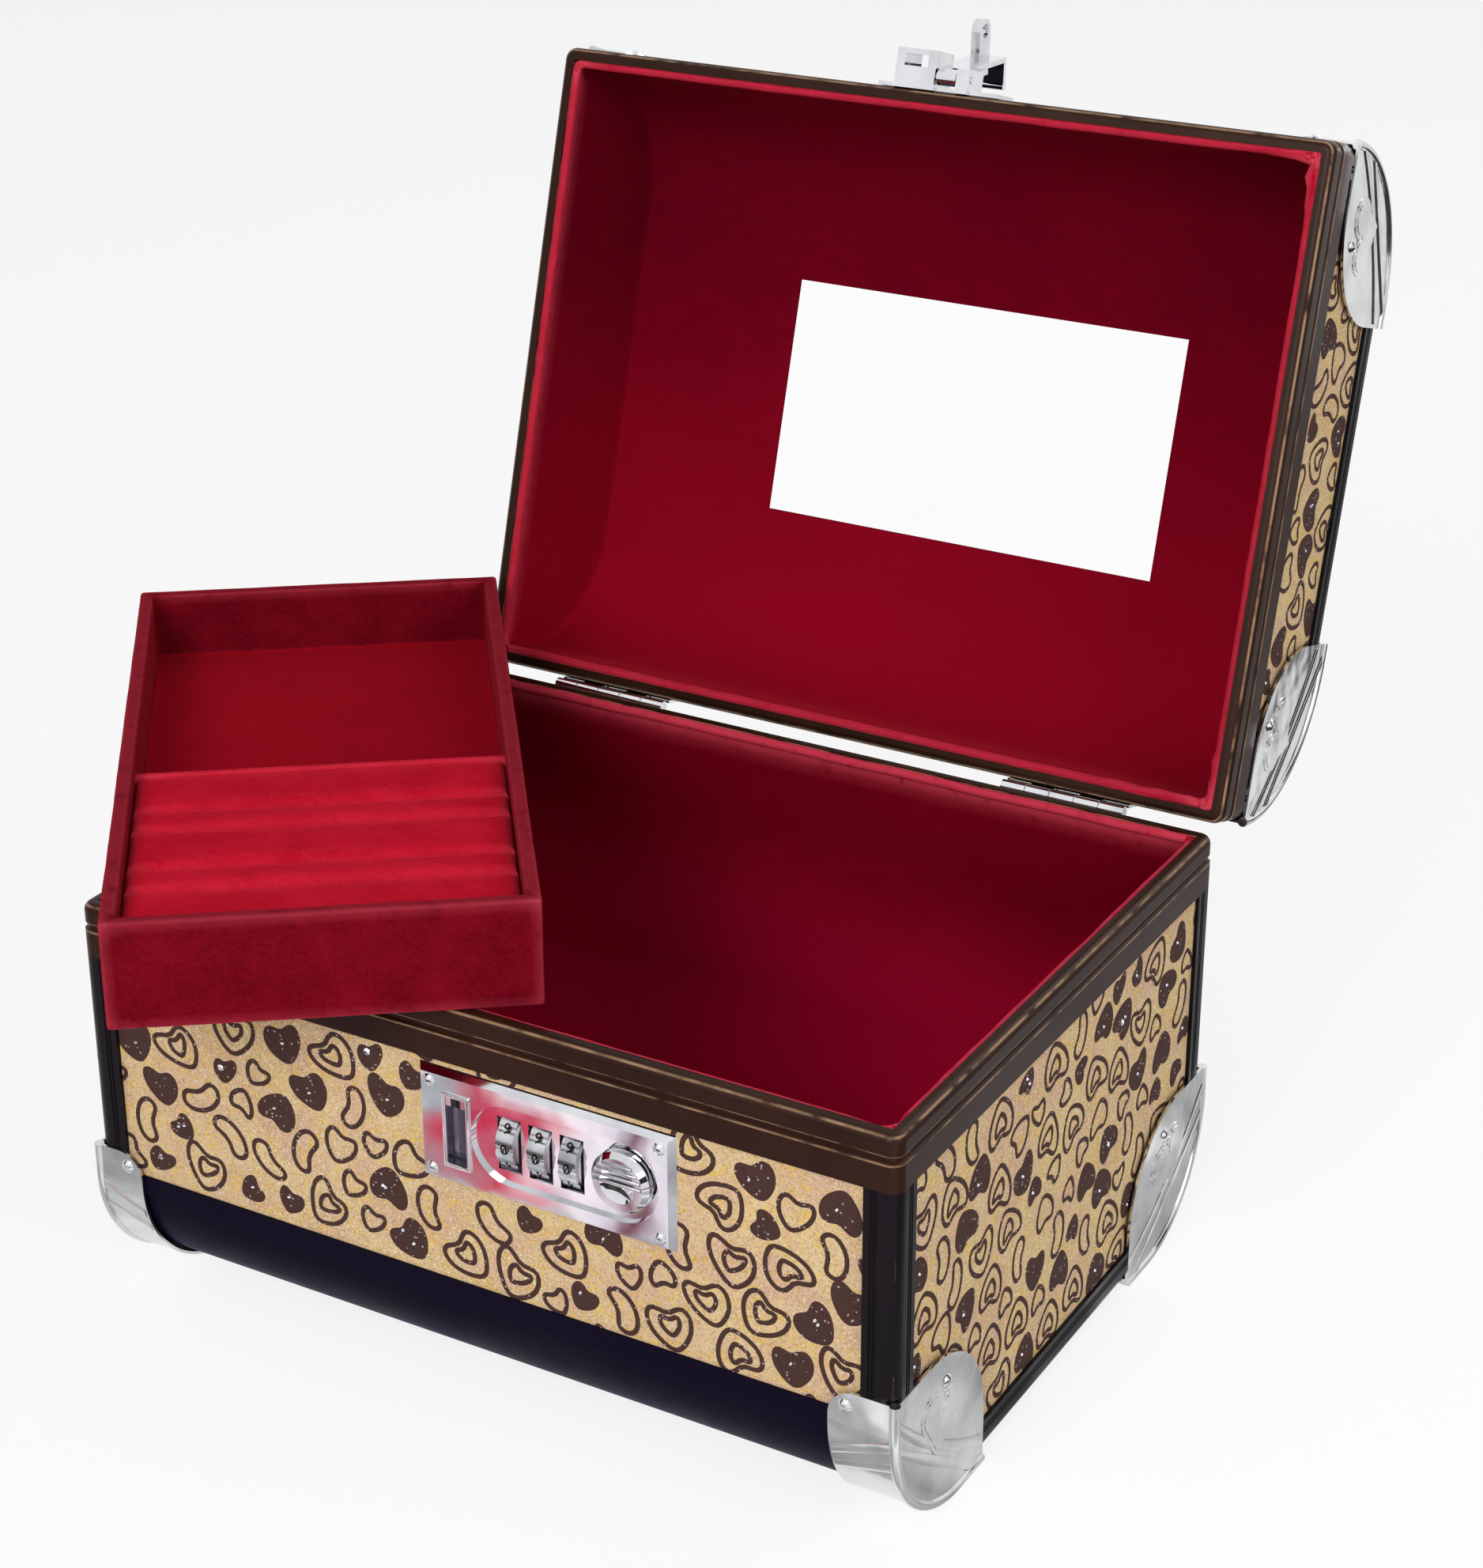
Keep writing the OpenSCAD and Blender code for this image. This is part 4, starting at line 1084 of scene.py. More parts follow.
    def model(self) -> None:
        """Models each motif in a few hand-drawn variants, and the crystal."""
        rng = random.Random(11)
        for stroke in self.strokes:
            names = [f"{stroke.kind.value}_{stroke.reach / MM:.0f}_{i}" for i in range(4)]
            self.kinds[stroke] = [self.motif(stroke, name, rng) for name in names]
        bpy.ops.object.select_all(action="DESELECT")
        bpy.ops.mesh.primitive_cone_add(
            vertices=6, radius1=0.6 * MM, radius2=0.35 * MM, depth=0.4 * MM, location=(0, 0, 0.25 * MM)
        )
        self.gem = bpy.context.object
        self.gem.name = "crystal"
        bpy.ops.object.transform_apply(location=True, rotation=True, scale=True)

    def spots(self, panel: Panel, rng: random.Random) -> list[tuple[float, float, Stroke]]:
        """Spreads the motifs over a panel and pushes neighbours apart, so that few of them touch.

        Args:
            panel: The panel to cover.
            rng: The seeded source of the places.

        Returns:
            Each motif's place on the panel and its stroke.
        """
        step = math.sqrt(self.room / 0.866)
        places = []
        for row in range(round((panel.high - panel.low) / (0.866 * step)) + 1):
            for i in range(round(2 * panel.half / step) + 1):
                x = -panel.half + (i + 0.5 * (row % 2) + rng.uniform(-0.25, 0.25)) * step
                y = panel.low + (0.866 * row + rng.uniform(-0.25, 0.25)) * step
                places.append(Vector((x, y)))
        bag = [stroke for stroke in self.strokes for _ in range(stroke.share)]
        kinds = [bag[i % len(bag)] for i in range(len(places))]
        rng.shuffle(kinds)
        for _ in range(self.rounds):
            for i, a in enumerate(places):
                for j in range(i):
                    gap = a - places[j]
                    short = kinds[i].clear + kinds[j].clear - gap.length
                    if short > 0:
                        push = gap.normalized() * short * 0.5
                        a += push
                        places[j] -= push
                a.x = min(max(a.x, -panel.half), panel.half)
                a.y = min(max(a.y, panel.low), panel.high)
        return [(a.x, a.y, kind) for a, kind in zip(places, kinds) if panel.holds(a.x, a.y, kind.clear)]

    def scatter(self, panel: Panel) -> tuple[bpy.types.Object, bpy.types.Object]:
        """Copies the motifs and crystals over one panel.

        Args:
            panel: The panel to cover.

        Returns:
            The joined motifs and the joined crystals, in the panel's own plane.
        """
        rng = random.Random(panel.seed)
        shapes, gems = [], []
        for x, y, stroke in self.spots(panel, rng):
            turn, grow = rng.gauss(0, 0.45), rng.uniform(0.95, 1.04)
            if panel.turned != (rng.random() < 0.15):
                turn += math.pi
            place = Matrix.Translation((x, y, 0)) @ Matrix.Rotation(turn, 4, "Z")
            shape = self.kinds[stroke][rng.randrange(4)]
            shapes.append(copy_of(shape, place @ Matrix.Diagonal((grow, grow, 1, 1))))
            if stroke.kind is Motif.SOLID and panel.inside(x, y, 2 * MM):
                for _ in range(rng.choice((0, 1, 1, 2))):
                    big = 2.0 if rng.random() < 0.06 else 1.0
                    dx, dy = rng.uniform(-0.3, 0.3) * stroke.reach, rng.uniform(-0.2, 0.3) * stroke.reach
                    at = Matrix.Translation((x + dx, y + dy, 0)) @ Matrix.Diagonal((big, big, 1, 1))
                    gems.append(copy_of(self.gem, at))
        LOG.info("%s carries %d motifs and %d crystals", panel.name, len(shapes), len(gems))
        return join(panel.name + "_hearts", shapes), join(panel.name + "_crystals", gems)

    def trim(self, obj: bpy.types.Object, panel: Panel) -> None:
        """Cuts motifs off along the panel's straight edges, as under its trims."""
        for direction, place in (
            ((1, 0, 0), panel.half), ((-1, 0, 0), panel.half), ((0, 1, 0), panel.high), ((0, -1, 0), -panel.low)
        ):
            with editing(obj):
                bpy.ops.mesh.select_all(action="SELECT")
                bpy.ops.mesh.bisect(
                    plane_co=Vector(direction) * place, plane_no=direction, use_fill=True, clear_outer=True
                )

    def clear(self) -> None:
        """Removes the motifs that were only there to be copied."""
        for variants in self.kinds.values():
            remove(*variants)
        if self.gem:
            remove(self.gem)


# --- sub-assemblies --------------------------------------------------------------------------


@dataclass
class VelvetRoom:
    """A velvet-lined room with two rounded long edges and a rolled lip round its mouth."""

    name: str
    deep: float
    edge_r: float
    place: Matrix
    body: Body
    stands_for: str
    lip_r: float = 1.5 * MM
    lip_clear: float = 0.4 * MM
    seed: int = 1
    bunches: tuple[tuple[float, float, float], ...] = ()
    window: tuple[Colour, Colour] | None = None

    def velvet(self, palette: Palette) -> bpy.types.Material:
        """Chooses the room's velvet."""
        return palette.lid_velvet if self.body is Body.LID else palette.velvet

    def shell(self) -> bpy.types.Object:
        """Models the lining: a box without its mouth, rounded and given its thickness."""
        half_x, half_y = SIZE.half_w - SIZE.room_u, SIZE.half_d - SIZE.room_u
        top, end = 1.4 * MM, self.deep - SIZE.room_u
        obj = block(self.name, (-half_x, -half_y, top), (half_x, half_y, end))
        with editing(obj) as mesh:
            pick_faces(mesh, lambda f: f.calc_center_median().z < top + NEAR)
            bpy.ops.mesh.delete(type="FACE")
            mesh = bmesh.from_edit_mesh(obj.data)
            pick_edges(mesh, lambda c: c.z > end - NEAR)
            for edge in mesh.edges:
                if edge.select and abs(edge.verts[0].co.x - edge.verts[1].co.x) < NEAR:
                    edge.select_set(False)
            bpy.ops.mesh.bevel(offset=self.edge_r, segments=18, affect="EDGES")
            bpy.ops.mesh.select_all(action="DESELECT")
            mesh = bmesh.from_edit_mesh(obj.data)
            pick_edges(mesh, lambda c: abs(abs(c.x) - half_x) < NEAR)
            for edge in mesh.edges:
                if edge.select and (edge.is_boundary or len(edge.link_faces) < 2):
                    edge.select_set(False)
                elif edge.select and edge.calc_face_angle(0) < 0.6:
                    edge.select_set(False)
            bpy.ops.mesh.bevel(offset=2.2 * MM, segments=3, affect="EDGES")
        fine_grid(obj, 5 * MM)
        uneven(obj, 0.22 * MM, 0.03)
        outward(obj)
        with editing(obj):
            bpy.ops.mesh.select_all(action="SELECT")
            bpy.ops.mesh.flip_normals()
        finish_with(obj, "SOLIDIFY", thickness=0.9 * MM, offset=-1.0)
        smooth(obj, 50)
        return obj

    def lip(self) -> bpy.types.Object:
        """Models the rolled velvet edge that meets the metal rim, a little uneven."""
        reach = 0.4 * MM
        half_x, half_y = SIZE.half_w - SIZE.room_u + reach, SIZE.half_d - SIZE.room_u + reach
        bpy.ops.object.select_all(action="DESELECT")
        bpy.ops.mesh.primitive_plane_add(size=1, location=(0, 0, 2.1 * MM))
        obj = bpy.context.object
        obj.name = self.name + "_lip"
        obj.scale = (2 * half_x, 2 * half_y, 1)
        bpy.ops.object.transform_apply(location=True, rotation=True, scale=True)
        with editing(obj):
            bpy.ops.mesh.select_all(action="SELECT")
            bpy.ops.mesh.bevel(offset=2.5 * MM, segments=5, affect="VERTICES")
            bpy.ops.mesh.select_all(action="SELECT")
            bpy.ops.mesh.delete(type="ONLY_FACE")
        rng = random.Random(self.seed)
        with editing(obj):
            bpy.ops.mesh.select_all(action="SELECT")
            bpy.ops.mesh.subdivide(number_cuts=24)
        for vertex in obj.data.vertices:
            vertex.co += Vector((rng.uniform(-0.12, 0.12), rng.uniform(-0.12, 0.12), rng.uniform(-0.1, 0.1))) * MM
        only(obj)
        bpy.ops.object.convert(target="CURVE")
        obj = bpy.context.object
        obj.data.bevel_depth = self.lip_r
        obj.data.bevel_resolution = 2
        bpy.ops.object.convert(target="MESH")
        obj = bpy.context.object
        obj.name = self.name + "_lip"
        self.bunch(obj)
        uneven(obj, 0.18 * MM, 0.006)
        smooth(obj, 60)
        return obj

    def bunch(self, obj: bpy.types.Object) -> None:
        """Swells the lip where spare velvet is folded in near some corners, still below the rim line."""
        if not self.bunches:
            return
        with editing(obj):
            bpy.ops.mesh.select_all(action="SELECT")
            bpy.ops.mesh.subdivide(number_cuts=1)
        group = obj.vertex_groups.new(name="bunch")
        for vertex in obj.data.vertices:
            near = max(1 - math.dist(vertex.co.xy, (x, y)) / reach for x, y, reach in self.bunches)
            if near > 0:
                group.add([vertex.index], min(1.0, 1.6 * near), "REPLACE")
        texture = bpy.data.textures.new("bunched", "CLOUDS")
        texture.noise_scale = 0.0045
        finish_with(
            obj, "DISPLACE", texture=texture, texture_coords="LOCAL", strength=4.2 * MM, mid_level=0.36,
            vertex_group="bunch",
        )
        for vertex in obj.data.vertices:
            vertex.co.z = max(vertex.co.z, self.lip_clear)
        bpy.data.textures.remove(texture)
        obj.vertex_groups.clear()

    def cut_window(self, shell: bpy.types.Object) -> None:
        """Cuts the lining away where another part's housing stands in the wall."""
        if self.window:
            cutter = block("window_cutter", *self.window)
            finish_with(shell, "BOOLEAN", operation="DIFFERENCE", object=cutter, solver="EXACT")
            remove(cutter)
            smooth(shell, 50)

    def build(self, palette: Palette) -> None:
        """Builds the lining and its lip and puts them in the case."""
        shell, lip = self.shell(), self.lip()
        for obj in (shell, lip):
            obj.data.transform(self.place)
        self.cut_window(shell)
        hand_over(shell, self.body, self.velvet(palette), [self.stands_for])
        # The lip takes the lighter velvet, which is painted light.
        hand_over(lip, self.body, palette.lip_velvet_painted_lit)


@dataclass
class RingTray:
    """The lift-out tray: a velvet-covered box, a divider and five ring bars."""

    width: float = 0.114
    length: float = 0.235
    height: float = 0.0313
    wall: float = 0.0042
    floor: float = 0.0105
    bar_top: float = 0.026
    bars: tuple[float, ...] = (0.0244, 0.0128, 0.0230, 0.0125, 0.0226)
    gap: float = 0.0005

    def box(self) -> bpy.types.Object:
        """Models the tray's box by insetting its top and pushing the floor down."""
        obj = block("tray_shell", (0, 0, 0), (self.width, self.length, self.height))
        with editing(obj) as mesh:
            pick_faces(mesh, lambda f: f.normal.z > 0.9)
            bpy.ops.mesh.inset(thickness=self.wall)
            bpy.ops.mesh.extrude_region_move(
                TRANSFORM_OT_translate={"value": (0, 0, self.floor - self.height)}
            )
            bpy.ops.mesh.select_mode(type="EDGE")
            bpy.ops.mesh.select_all(action="SELECT")
            mesh = bmesh.from_edit_mesh(obj.data)
            for edge in mesh.edges:
                edge.select_set(edge.calc_face_angle(0) > 0.5)
            bpy.ops.mesh.bevel(offset=1.1 * MM, segments=3, affect="EDGES")
        fine_grid(obj, 3.5 * MM)
        uneven(obj, 0.16 * MM, 0.02)
        smooth(obj, 45)
        return obj

    def divider(self) -> bpy.types.Object:
        """Models the thin wall behind the bars."""
        y = self.wall + sum(self.bars) + 5 * self.gap
        obj = block(
            "tray_wall", (self.wall - 0.3 * MM, y, self.floor - 0.5 * MM),
            (self.width - self.wall + 0.3 * MM, y + 2.5 * MM, self.bar_top + 0.3 * MM),
        )
        with editing(obj) as mesh:
            pick_edges(mesh, lambda c: c.z > self.bar_top)
            bpy.ops.mesh.bevel(offset=1.0 * MM, segments=3, affect="EDGES")
        fine_grid(obj, 6 * MM)
        uneven(obj, 0.1 * MM, 0.015)
        smooth(obj, 50)
        return obj

    def bar(self, index: int, y: float) -> bpy.types.Object:
        """Models one padded bar with full shoulders and a slightly crowned top.

        Args:
            index: The bar's number from the front.
            y: Where it starts.

        Returns:
            The bar.
        """
        width, spare = self.bars[index], 0.1 * MM
        x0, x1 = self.wall + 0.25 * MM, self.width - self.wall - 0.25 * MM
        obj = block(f"ring_bar_{index + 1}", (x0, y + spare, self.floor), (x1, y + width - spare, self.bar_top))
        with editing(obj) as mesh:
            pick_edges(mesh, lambda c: c.z > self.bar_top - NEAR)
            bpy.ops.mesh.bevel(offset=3.4 * MM, segments=6, affect="EDGES", profile=0.55)
        fine_grid(obj, 3.2 * MM)
        middle_x, middle_y, top = (x0 + x1) / 2, y + width / 2, self.bar_top
        for vertex in obj.data.vertices:
            c = vertex.co
            if c.z > top - 4 * MM:
                crown = 1 - ((c.y - middle_y) / (width / 2)) ** 2
                sag = 1 - ((c.x - middle_x) / (x1 - middle_x)) ** 4
                c.z += 0.5 * MM * max(crown, 0) * (0.4 + 0.6 * sag)
        plump(obj, lambda c: c.z < top - 3.6 * MM, 4.0, 0.3 * MM)
        uneven(obj, 0.22 * MM, 0.012)
        smooth(obj, 60)
        return obj

    def build(self, palette: Palette) -> None:
        """Builds the tray and puts it on the case's rim."""
        place = SIZE.tray_place()
        box = self.box()
        box.data.transform(place)
        hand_over(box, Body.TRAY, palette.tray_velvet, ["tray_box"])
        wall = self.divider()
        wall.data.transform(place)
        hand_over(wall, Body.TRAY, palette.bar_velvet_painted_lit, ["tray_divider"])
        y = self.wall + self.gap / 2
        for index, width in enumerate(self.bars):
            bar = self.bar(index, y)
            bar.data.transform(place)
            stands = ["ring_bars"] if index == 0 else []
            hand_over(bar, Body.TRAY, palette.bar_velvet_painted_lit, stands)
            y += width + self.gap


@dataclass
class FloorPad:
    """The loose padded board on the case's floor."""

    half_x: float = 0.1234
    half_y: float = 0.0605
    low: float = 0.0062
    high: float = 0.0092

    def build(self, palette: Palette) -> None:
        """Builds the pad with a crowned top and soft edges."""
        obj = block("floor_cushion", (-self.half_x, -self.half_y, self.low), (self.half_x, self.half_y, self.high))
        with editing(obj) as mesh:
            pick_edges(mesh, lambda c: c.z > self.high - NEAR)
            bpy.ops.mesh.bevel(offset=1.3 * MM, segments=4, affect="EDGES")
        fine_grid(obj, 6 * MM)
        for vertex in obj.data.vertices:
            c = vertex.co
            if c.z > self.high - 1.4 * MM:
                crown = (1 - (c.x / self.half_x) ** 4) * (1 - (c.y / self.half_y) ** 4)
                c.z += 0.7 * MM * max(crown, 0)
        plump(obj, lambda c: c.z < self.high - 1.2 * MM, 4.0, 0.3 * MM)
        uneven(obj, 0.2 * MM, 0.03)
        smooth(obj, 60)
        hand_over(obj, Body.CASE, palette.velvet, ["base_floor_pad"])


@dataclass
class LockDetails:
    """Small things on the lock: numerals on the dials, the slot's frame and the knob's ribs."""

    face_y: float = -0.101
    dial_y: float = -0.0934
    dial_z: float = 0.0908
    dial_r: float = 9.4 * MM
    dial_x: tuple[float, ...] = (0.0142, 0.0240, 0.0338)
    slot_x: float = -0.0019
    slot_low: float = 0.0805
    slot_high: float = 0.1010
    knob_x: float = 0.0505
    knob_z: float = 0.0920

    def numerals(self, name: str, x: float) -> bpy.types.Object:
        """Sets the digits 0 to 9 round one dial.

        Args:
            name: The piece's name.
            x: The dial's middle across the case.

        Returns:
            The joined digits.
        """
        digits = []
        for value in range(10):
            bpy.ops.object.select_all(action="DESELECT")
            bpy.ops.object.text_add()
            obj = bpy.context.object
            text = obj.data
            text.body = str(value)
            text.size, text.extrude, text.resolution_u = 4.4 * MM, 0.06 * MM, 3
            text.align_x, text.align_y = "CENTER", "CENTER"
            bpy.ops.object.convert(target="MESH")
            obj = bpy.context.object
            turn = Matrix.Rotation(math.radians(36 * value), 4, "X")
            stand = Matrix.Rotation(math.pi / 2, 4, "X")
            away = Matrix.Translation((0, -(self.dial_r - 0.02 * MM), 0))
            obj.data.transform(Matrix.Translation((x, self.dial_y, self.dial_z)) @ turn @ away @ stand)
            digits.append(obj)
        return join(name, digits)

    def slot_frame(self) -> bpy.types.Object:
        """Models the thin rounded frame round the slot."""
        w, lip = 3.25 * MM, 1.1 * MM
        obj = block(
            "slot_frame", (self.slot_x - w - lip, self.face_y - 0.7 * MM, self.slot_low - lip),
            (self.slot_x + w + lip, self.face_y + 0.3 * MM, self.slot_high + lip),
        )
        with editing(obj) as mesh:
            pick_faces(mesh, lambda f: abs(f.normal.y) > 0.9)
            bpy.ops.mesh.inset(thickness=lip + 0.05 * MM)
            bpy.ops.mesh.bridge_edge_loops()
            mesh = bmesh.from_edit_mesh(obj.data)
            bpy.ops.mesh.select_mode(type="EDGE")
            for edge in mesh.edges:
                edge.select_set(edge.calc_face_angle(0) > 0.5)
            bpy.ops.mesh.bevel(offset=0.32 * MM, segments=3, affect="EDGES")
        smooth(obj, 50)
        return obj

    def knob_ribs(self) -> bpy.types.Object:
        """Models the finger ribs across the upper half of the knob."""
        ribs = []
        face = self.face_y + 0.9 * MM - 4.2 * MM
        for i in range(4):
            z = self.knob_z + 0.4 * MM + i * 1.8 * MM
            half = math.sqrt(max((7.4 * MM) ** 2 - (z - self.knob_z) ** 2, 1e-9))
            rib = block(
                f"rib_{i}", (self.knob_x - half, face - 0.6 * MM, z - 0.5 * MM),
                (self.knob_x + half, face + 1.9 * MM, z + 0.5 * MM),
            )
            with editing(rib) as mesh:
                pick_edges(mesh, lambda c: c.y < face)
                bpy.ops.mesh.bevel(offset=0.4 * MM, segments=3, affect="EDGES")
            ribs.append(rib)
        obj = join("knob_ribs", ribs)
        smooth(obj, 50)
        return obj

    def build(self, palette: Palette) -> None:
        """Builds the details and fixes them to the lock's parts."""
        wheels = (Body.WHEEL_LEFT, Body.WHEEL_MIDDLE, Body.WHEEL_RIGHT)
        for body, x in zip(wheels, self.dial_x):
            hand_over(self.numerals(body.value + "_digits", x), body, palette.enamel)
        hand_over(self.slot_frame(), Body.CASE, palette.chrome)
        hand_over(self.knob_ribs(), Body.BOLT, palette.dial)


@dataclass(frozen=True)
class Cladding:
    """The cloth pattern on every gold panel, ending a little under the trims."""

    under_rim: float = 12 * MM
    under_edge: float = 1 * MM
    above_foot: float = 2.3 * MM
    below_top: float = 1.5 * MM
    lock_plate: tuple[float, float, float, float] = (-0.008, 0.057, 0.079, 0.103)

    def panels(self) -> list[tuple[Panel, Matrix, Body]]:
        """Lists the panels with the place of each and its body."""
        s, still, lid = SIZE, Matrix.Identity(4), SIZE.lid_place()
        low, high = s.rim_z - (s.base_deep - s.base_r) - self.under_edge, s.rim_z - self.under_rim
        front_y, side_x = s.half_d - s.board_u, s.half_w - s.board_u
        lid_top, lid_half = s.lid_deep - s.board_u, s.half_d - s.lid_r + 2 * MM
        long_half, reach = s.half_w - 2 * MM, s.half_d - 1 * MM
        up = (0, 0, 1)
        front = Panel(
            "front", (0, -front_y, 0), (1, 0, 0), up, long_half, low, high, 0, False, 3, keep_out=self.lock_plate
        )
        back = Panel("back", (0, front_y, 0), (-1, 0, 0), up, long_half, low, high, 0, False, 4)
        right, left = (
            Panel(
                name, (side * side_x, 0, 0), (0, side, 0), up, reach, self.above_foot, high,
                s.base_r, True, seed, turned=True,
            )
            for name, side, seed in (("right_end", 1, 5), ("left_end", -1, 6))
        )
        lid_right, lid_left = (
            Panel(
                name, (side * side_x, 0, 0), (0, side, 0), up, reach, self.under_rim, s.lid_deep - self.below_top,
                s.lid_r, False, seed,
            )
            for name, side, seed in (("lid_right_end", 1, 7), ("lid_left_end", -1, 8))
        )
        lid_cover = Panel(
            "lid_top", (0, 0, lid_top), (1, 0, 0), (0, 1, 0), long_half, -lid_half, lid_half, 0, False, 9
        )
        base = [(p, still, Body.CASE) for p in (front, back, right, left)]
        return base + [(p, lid, Body.LID) for p in (lid_right, lid_left, lid_cover)]

    def build(self, palette: Palette) -> None:
        """Scatters the hearts and crystals and fixes them to the panels."""
        pattern = HeartCloth()
        pattern.model()
        for panel, place, body in self.panels():
            hearts, gems = pattern.scatter(panel)
            pattern.trim(hearts, panel)
            for obj in (hearts, gems):
                obj.data.transform(place @ panel.place())
            hand_over(hearts, body, palette.flock)
            hand_over(gems, body, palette.gem)
        pattern.clear()


class Metalwork:
    """Dresses the CAD nodes that keep their own shape."""

    def __init__(self, palette: Palette) -> None:
        """Keeps the palette and reads which slot each node has in the record."""
        self.palette = palette
        self.slots = {row["node"]: row["material_slot"] for row in frame["record"]["subparts"]}

    def material_for(self, name: str) -> bpy.types.Material:
        """Chooses a node's material.

        Args:
            name: The CAD node's name.

        Returns:
            The material.
        """
        p = self.palette
        slot = self.slots[name]
        if "guard" in name:
            return p.guard
        # The lock case takes the pale colour, a painted reflection.
        if name == "lock_case":
            return p.painted_reflection_lock
        if name.startswith("post_") or name.endswith("_trim"):
            return p.black
        rim = Body.LID if name.startswith("lid_") else Body.CASE
        by_slot = {
            Slot.CLOTH.value: p.cloth, Slot.BROWN.value: p.rims[rim], Slot.MIRROR.value: p.mirror,
            Slot.GRIP.value: p.grip, Slot.DIAL.value: p.dial, Slot.CHROME.value: p.chrome,
            Slot.VELVET.value: p.velvet, Slot.VELVET_LIT.value: p.bar_velvet_painted_lit,
        }
        if slot == Slot.COVER.value:
            return p.lid_cover if name.startswith("lid_") else p.cover
        return by_slot[slot]

    def build(self) -> None:
        """Assigns the materials."""
        for name, node in frame["nodes"].items():
            node.data.materials.clear()
            node.data.materials.append(self.material_for(name))
            LOG.info("%s keeps its shape", name)


@dataclass
class Studio:
    """The floor, the lights, the world and the camera."""

    lens: float = 75.17
    shift: tuple[float, float] = (0.00645, -0.0188)
    azimuth: float = 30.247
    elevation: float = 24.233
    roll: float = -0.258
    place: tuple[float, float, float] = (0.4423, -0.7165, 0.5409)
    aim: tuple[float, float, float] = (0, 0, 0.12)

    def camera(self) -> None:
        """Sets the camera at the photograph's viewing angle."""
        az, el, roll = (math.radians(a) for a in (self.azimuth, self.elevation, self.roll))
        look = Vector((-math.sin(az) * math.cos(el), math.cos(az) * math.cos(el), -math.sin(el)))
        right = Vector((math.cos(az), math.sin(az), 0))
        up = right.cross(look)
        c, s = math.cos(roll), math.sin(roll)
        right, up = c * right + s * up, -s * right + c * up
        data = bpy.data.cameras.new("camera")
        data.sensor_width = 36
        data.lens = self.lens
        data.shift_x, data.shift_y = self.shift
        data.clip_start, data.clip_end = 0.05, 60
        obj = bpy.data.objects.new("camera", data)
        bpy.context.scene.collection.objects.link(obj)
        turn = Matrix((right, up, -look)).transposed().to_4x4()
        obj.matrix_world = Matrix.Translation(self.place) @ turn
        bpy.context.scene.camera = obj

    @staticmethod
    def seen(wires: Wires) -> object:
        """Marks rays from the camera, metal and glass and returns the output."""
        path = wires.add("ShaderNodeLightPath")
        straight = wires.maths("ADD", path.outputs["Is Camera Ray"], path.outputs["Is Glossy Ray"])
        return wires.maths("ADD", straight, path.outputs["Is Transmission Ray"], clamp=True)

    def seen_white(self, wires: Wires, shaded: object, white: float) -> object:
        """Blends a shader with white for rays from the camera, metal and glass."""
        part = wires.maths("MULTIPLY", self.seen(wires), white)
        glow = wires.add("ShaderNodeEmission", {"Color": (1, 1, 1, 1), "Strength": 1.0})
        return wires.add("ShaderNodeMixShader", {0: part, 1: shaded, 2: glow.outputs[0]}).outputs[0]

    def floor(self) -> None:
        """Adds the pale floor."""
        bpy.ops.object.select_all(action="DESELECT")
        bpy.ops.mesh.primitive_plane_add(size=40, location=(0, 0, -0.0004))
        obj = bpy.context.object
        obj.name = "floor"
        bpy.ops.object.transform_apply(location=True, rotation=True, scale=True)
        material = bpy.data.materials.new("pale_floor")
        material.use_nodes = True
        material.node_tree.nodes.clear()
        w = Wires(material.node_tree)
        plain = w.add("ShaderNodeBsdfDiffuse", {"Color": (0.9, 0.9, 0.9, 1)})
        mixed = self.seen_white(w, plain.outputs[0], 0.82)
        w.add("ShaderNodeOutputMaterial", {"Surface": mixed})
        obj.data.materials.append(material)

    @staticmethod
    def only_in_metal(obj: bpy.types.Object) -> None:
        """Hides a stage card from all but the reflections in polished surfaces."""
        obj.visible_camera = False
        obj.visible_diffuse = False
        obj.visible_transmission = False
        obj.visible_shadow = False

    def card(self, name: str, place: Sequence[float], size: tuple[float, float]) -> None:
        """Adds a dark standing card, seen as a streak in polished metal.

        Args:
            name: The card's name.
            place: Its middle; it faces the case.
            size: Its width and height.
        """
        bpy.ops.object.select_all(action="DESELECT")
        bpy.ops.mesh.primitive_plane_add(size=1, location=place)
        obj = bpy.context.object
        obj.name = name
        obj.scale = (size[0], size[1], 1)
        toward = Vector(self.aim) - Vector(place)
        obj.rotation_euler = toward.to_track_quat("Z", "Y").to_euler()
        obj.data.materials.append(self.card_material(name, ((0.03, 0.03, 0.035),), 1.0, 0.0))
        self.only_in_metal(obj)

    def floor_card(
        self, name: str, low: tuple[float, float], high: tuple[float, float], tones: Sequence[Colour],
        stripes: float, slant: float = 0.0,
    ) -> None:
        """Adds a striped card lying on the floor, seen only in polished surfaces.

        Args:
            name: The card's name.
            low: Its low corner across and along the floor.
            high: Its high corner.
            tones: The stripes' colours, in order.
            stripes: How many stripes come to a metre.
            slant: The stripes' turn, in degrees.
        """
        obj = block(name, (*low, 0.0002), (*high, 0.0004))
        obj.data.materials.append(self.card_material(name, tones, stripes, slant))
        self.only_in_metal(obj)

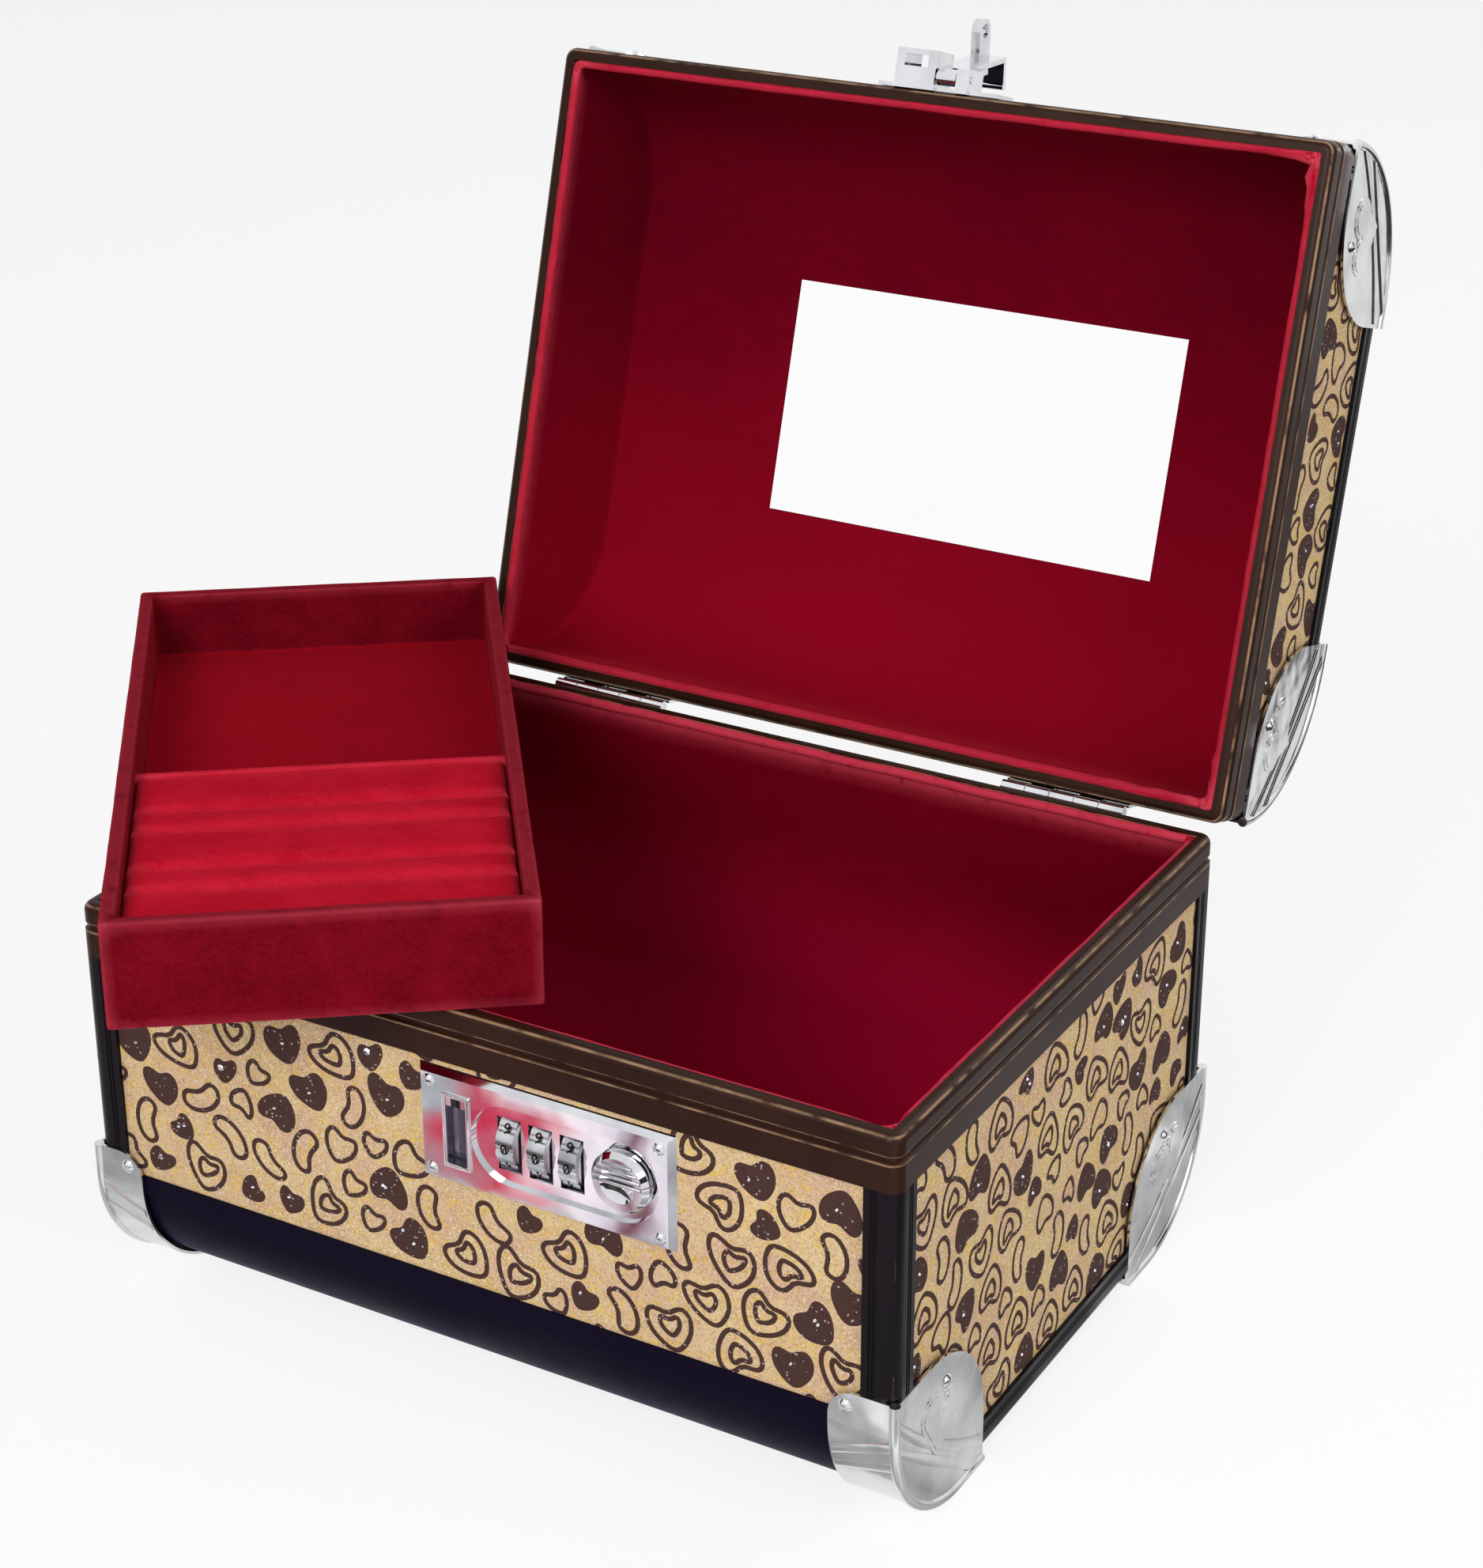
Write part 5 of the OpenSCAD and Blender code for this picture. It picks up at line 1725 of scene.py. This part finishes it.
    @staticmethod
    def card_material(name: str, tones: Sequence[Colour], stripes: float, slant: float) -> bpy.types.Material:
        """Makes a card's glow: soft wavy stripes of several tones.

        Args:
            name: The material's name.
            tones: The stripes' colours, in order.
            stripes: How many stripes come to a metre.
            slant: Their turn, in degrees.

        Returns:
            The material.
        """
        material = bpy.data.materials.new(name)
        material.use_nodes = True
        material.node_tree.nodes.clear()
        w = Wires(material.node_tree)
        place = w.add("ShaderNodeTexCoord").outputs["Object"]
        turned = w.stretched(place, (1, 1, 1), (0, 0, math.radians(slant)))
        along = w.add("ShaderNodeSeparateXYZ", {"Vector": turned}).outputs[0]
        bent = w.maths("ADD", w.maths("MULTIPLY", along, stripes), w.maths("MULTIPLY", w.noise(place, 12.0), 1.6))
        share = w.maths("FRACT", bent)
        ramp = w.add("ShaderNodeValToRGB", {"Fac": share})
        while len(ramp.color_ramp.elements) < len(tones) + 1:
            ramp.color_ramp.elements.new(0.5)
        for i, tone in enumerate((*tones, tones[0])):
            ramp.color_ramp.elements[i].position = i / len(tones)
            ramp.color_ramp.elements[i].color = (*tone, 1)
        glow = w.add("ShaderNodeEmission", {"Color": ramp.outputs["Color"], "Strength": 1.0})
        w.add("ShaderNodeOutputMaterial", {"Surface": glow.outputs[0]})
        return material

    def lamp(self, name: str, place: Sequence[float], size: float, power: float) -> None:
        """Adds a soft square light aimed at the case."""
        data = bpy.data.lights.new(name, "AREA")
        data.shape, data.size, data.energy = "SQUARE", size, power
        obj = bpy.data.objects.new(name, data)
        obj.location = place
        toward = Vector(self.aim) - Vector(place)
        obj.rotation_euler = toward.to_track_quat("-Z", "Y").to_euler()
        bpy.context.scene.collection.objects.link(obj)

    def world(self) -> None:
        """Makes the world plain grey for light and white for the camera, metal and glass."""
        world = bpy.data.worlds.new("studio")
        bpy.context.scene.world = world
        world.use_nodes = True
        world.node_tree.nodes.clear()
        w = Wires(world.node_tree)
        plain = w.add("ShaderNodeBackground", {"Color": (1, 1, 1, 1), "Strength": 0.36})
        white = w.add("ShaderNodeBackground", {"Color": (1, 1, 1, 1), "Strength": 1.0})
        mixed = w.add("ShaderNodeMixShader", {0: self.seen(w), 1: plain.outputs[0], 2: white.outputs[0]})
        w.add("ShaderNodeOutputWorld", {"Surface": mixed.outputs[0]})

    def build(self) -> None:
        """Builds the whole studio."""
        self.camera()
        self.floor()
        self.world()
        self.lamp("key", (0.1, -1.5, 1.1), 0.8, 19)
        self.lamp("fill", (1.3, -0.5, 0.8), 0.8, 9)
        self.lamp("back", (0.2, 1.2, 1.2), 0.8, 5)
        self.card("card_left", (-1.3, -0.9, 0.35), (0.5, 1.6))
        self.card("card_right", (1.5, -0.9, 0.3), (0.35, 1.6))
        self.card("card_top", (0.3, -0.4, 1.6), (1.2, 0.25))
        self.card("card_side", (1.4, 0.9, 0.5), (0.5, 1.2))
        greys = ((0.8, 0.8, 0.8), (0.42, 0.42, 0.43), (0.62, 0.62, 0.62), (1.3, 1.3, 1.31), (0.5, 0.5, 0.51))
        darks = ((0.05, 0.045, 0.05), (0.02, 0.02, 0.022), (0.12, 0.11, 0.11))
        # These red stripes alone give the lock plate its red sheen; the tray isn't what it shows.
        reds = ((0.8, 0.03, 0.1), (1.3, 1.15, 1.2), (1.2, 1.1, 1.2), (0.2, 0.02, 0.05), (1.3, 1.2, 1.3),
                (0.5, 0.55, 0.57))
        self.floor_card("near_front", (-0.2, -0.2), (0.15, -0.1), greys, 9.0, 60)
        self.floor_card("near_right", (0.13, -0.2), (0.26, 0.4), greys, 9.0, 35)
        self.floor_card("far_front", (-0.6, -0.8), (0.15, -0.31), darks, 5.0)
        self.floor_card("plate_front", (-0.6, -0.31), (0.15, -0.2), reds, 11.0, 25)
        self.floor_card("far_right", (0.26, -0.2), (0.9, 0.9), darks, 5.0)
        bpy.context.scene.view_settings.view_transform = "Standard"


def main() -> None:
    """Builds the studio and every sub-assembly in order."""
    logging.basicConfig(level=logging.INFO, format="%(message)s")
    Studio().build()
    palette = Palette()
    Metalwork(palette).build()
    VelvetRoom(
        "base_velvet", SIZE.base_deep, SIZE.base_r - SIZE.room_u, SIZE.base_place(), Body.CASE, "base_lining",
        seed=2, window=((-0.013, -0.11, 0.0743), (0.0638, -0.085, 0.1073)),
    ).build(palette)
    VelvetRoom(
        "lid_velvet", SIZE.lid_deep, SIZE.lid_r - SIZE.room_u, SIZE.lid_place(), Body.LID, "lid_lining",
        seed=3, bunches=((0.1235, -0.0935, 0.017), (0.112, 0.0945, 0.024)),
    ).build(palette)
    FloorPad().build(palette)
    RingTray().build(palette)
    LockDetails().build(palette)
    Cladding().build(palette)


if __name__ == "__main__":
    main()
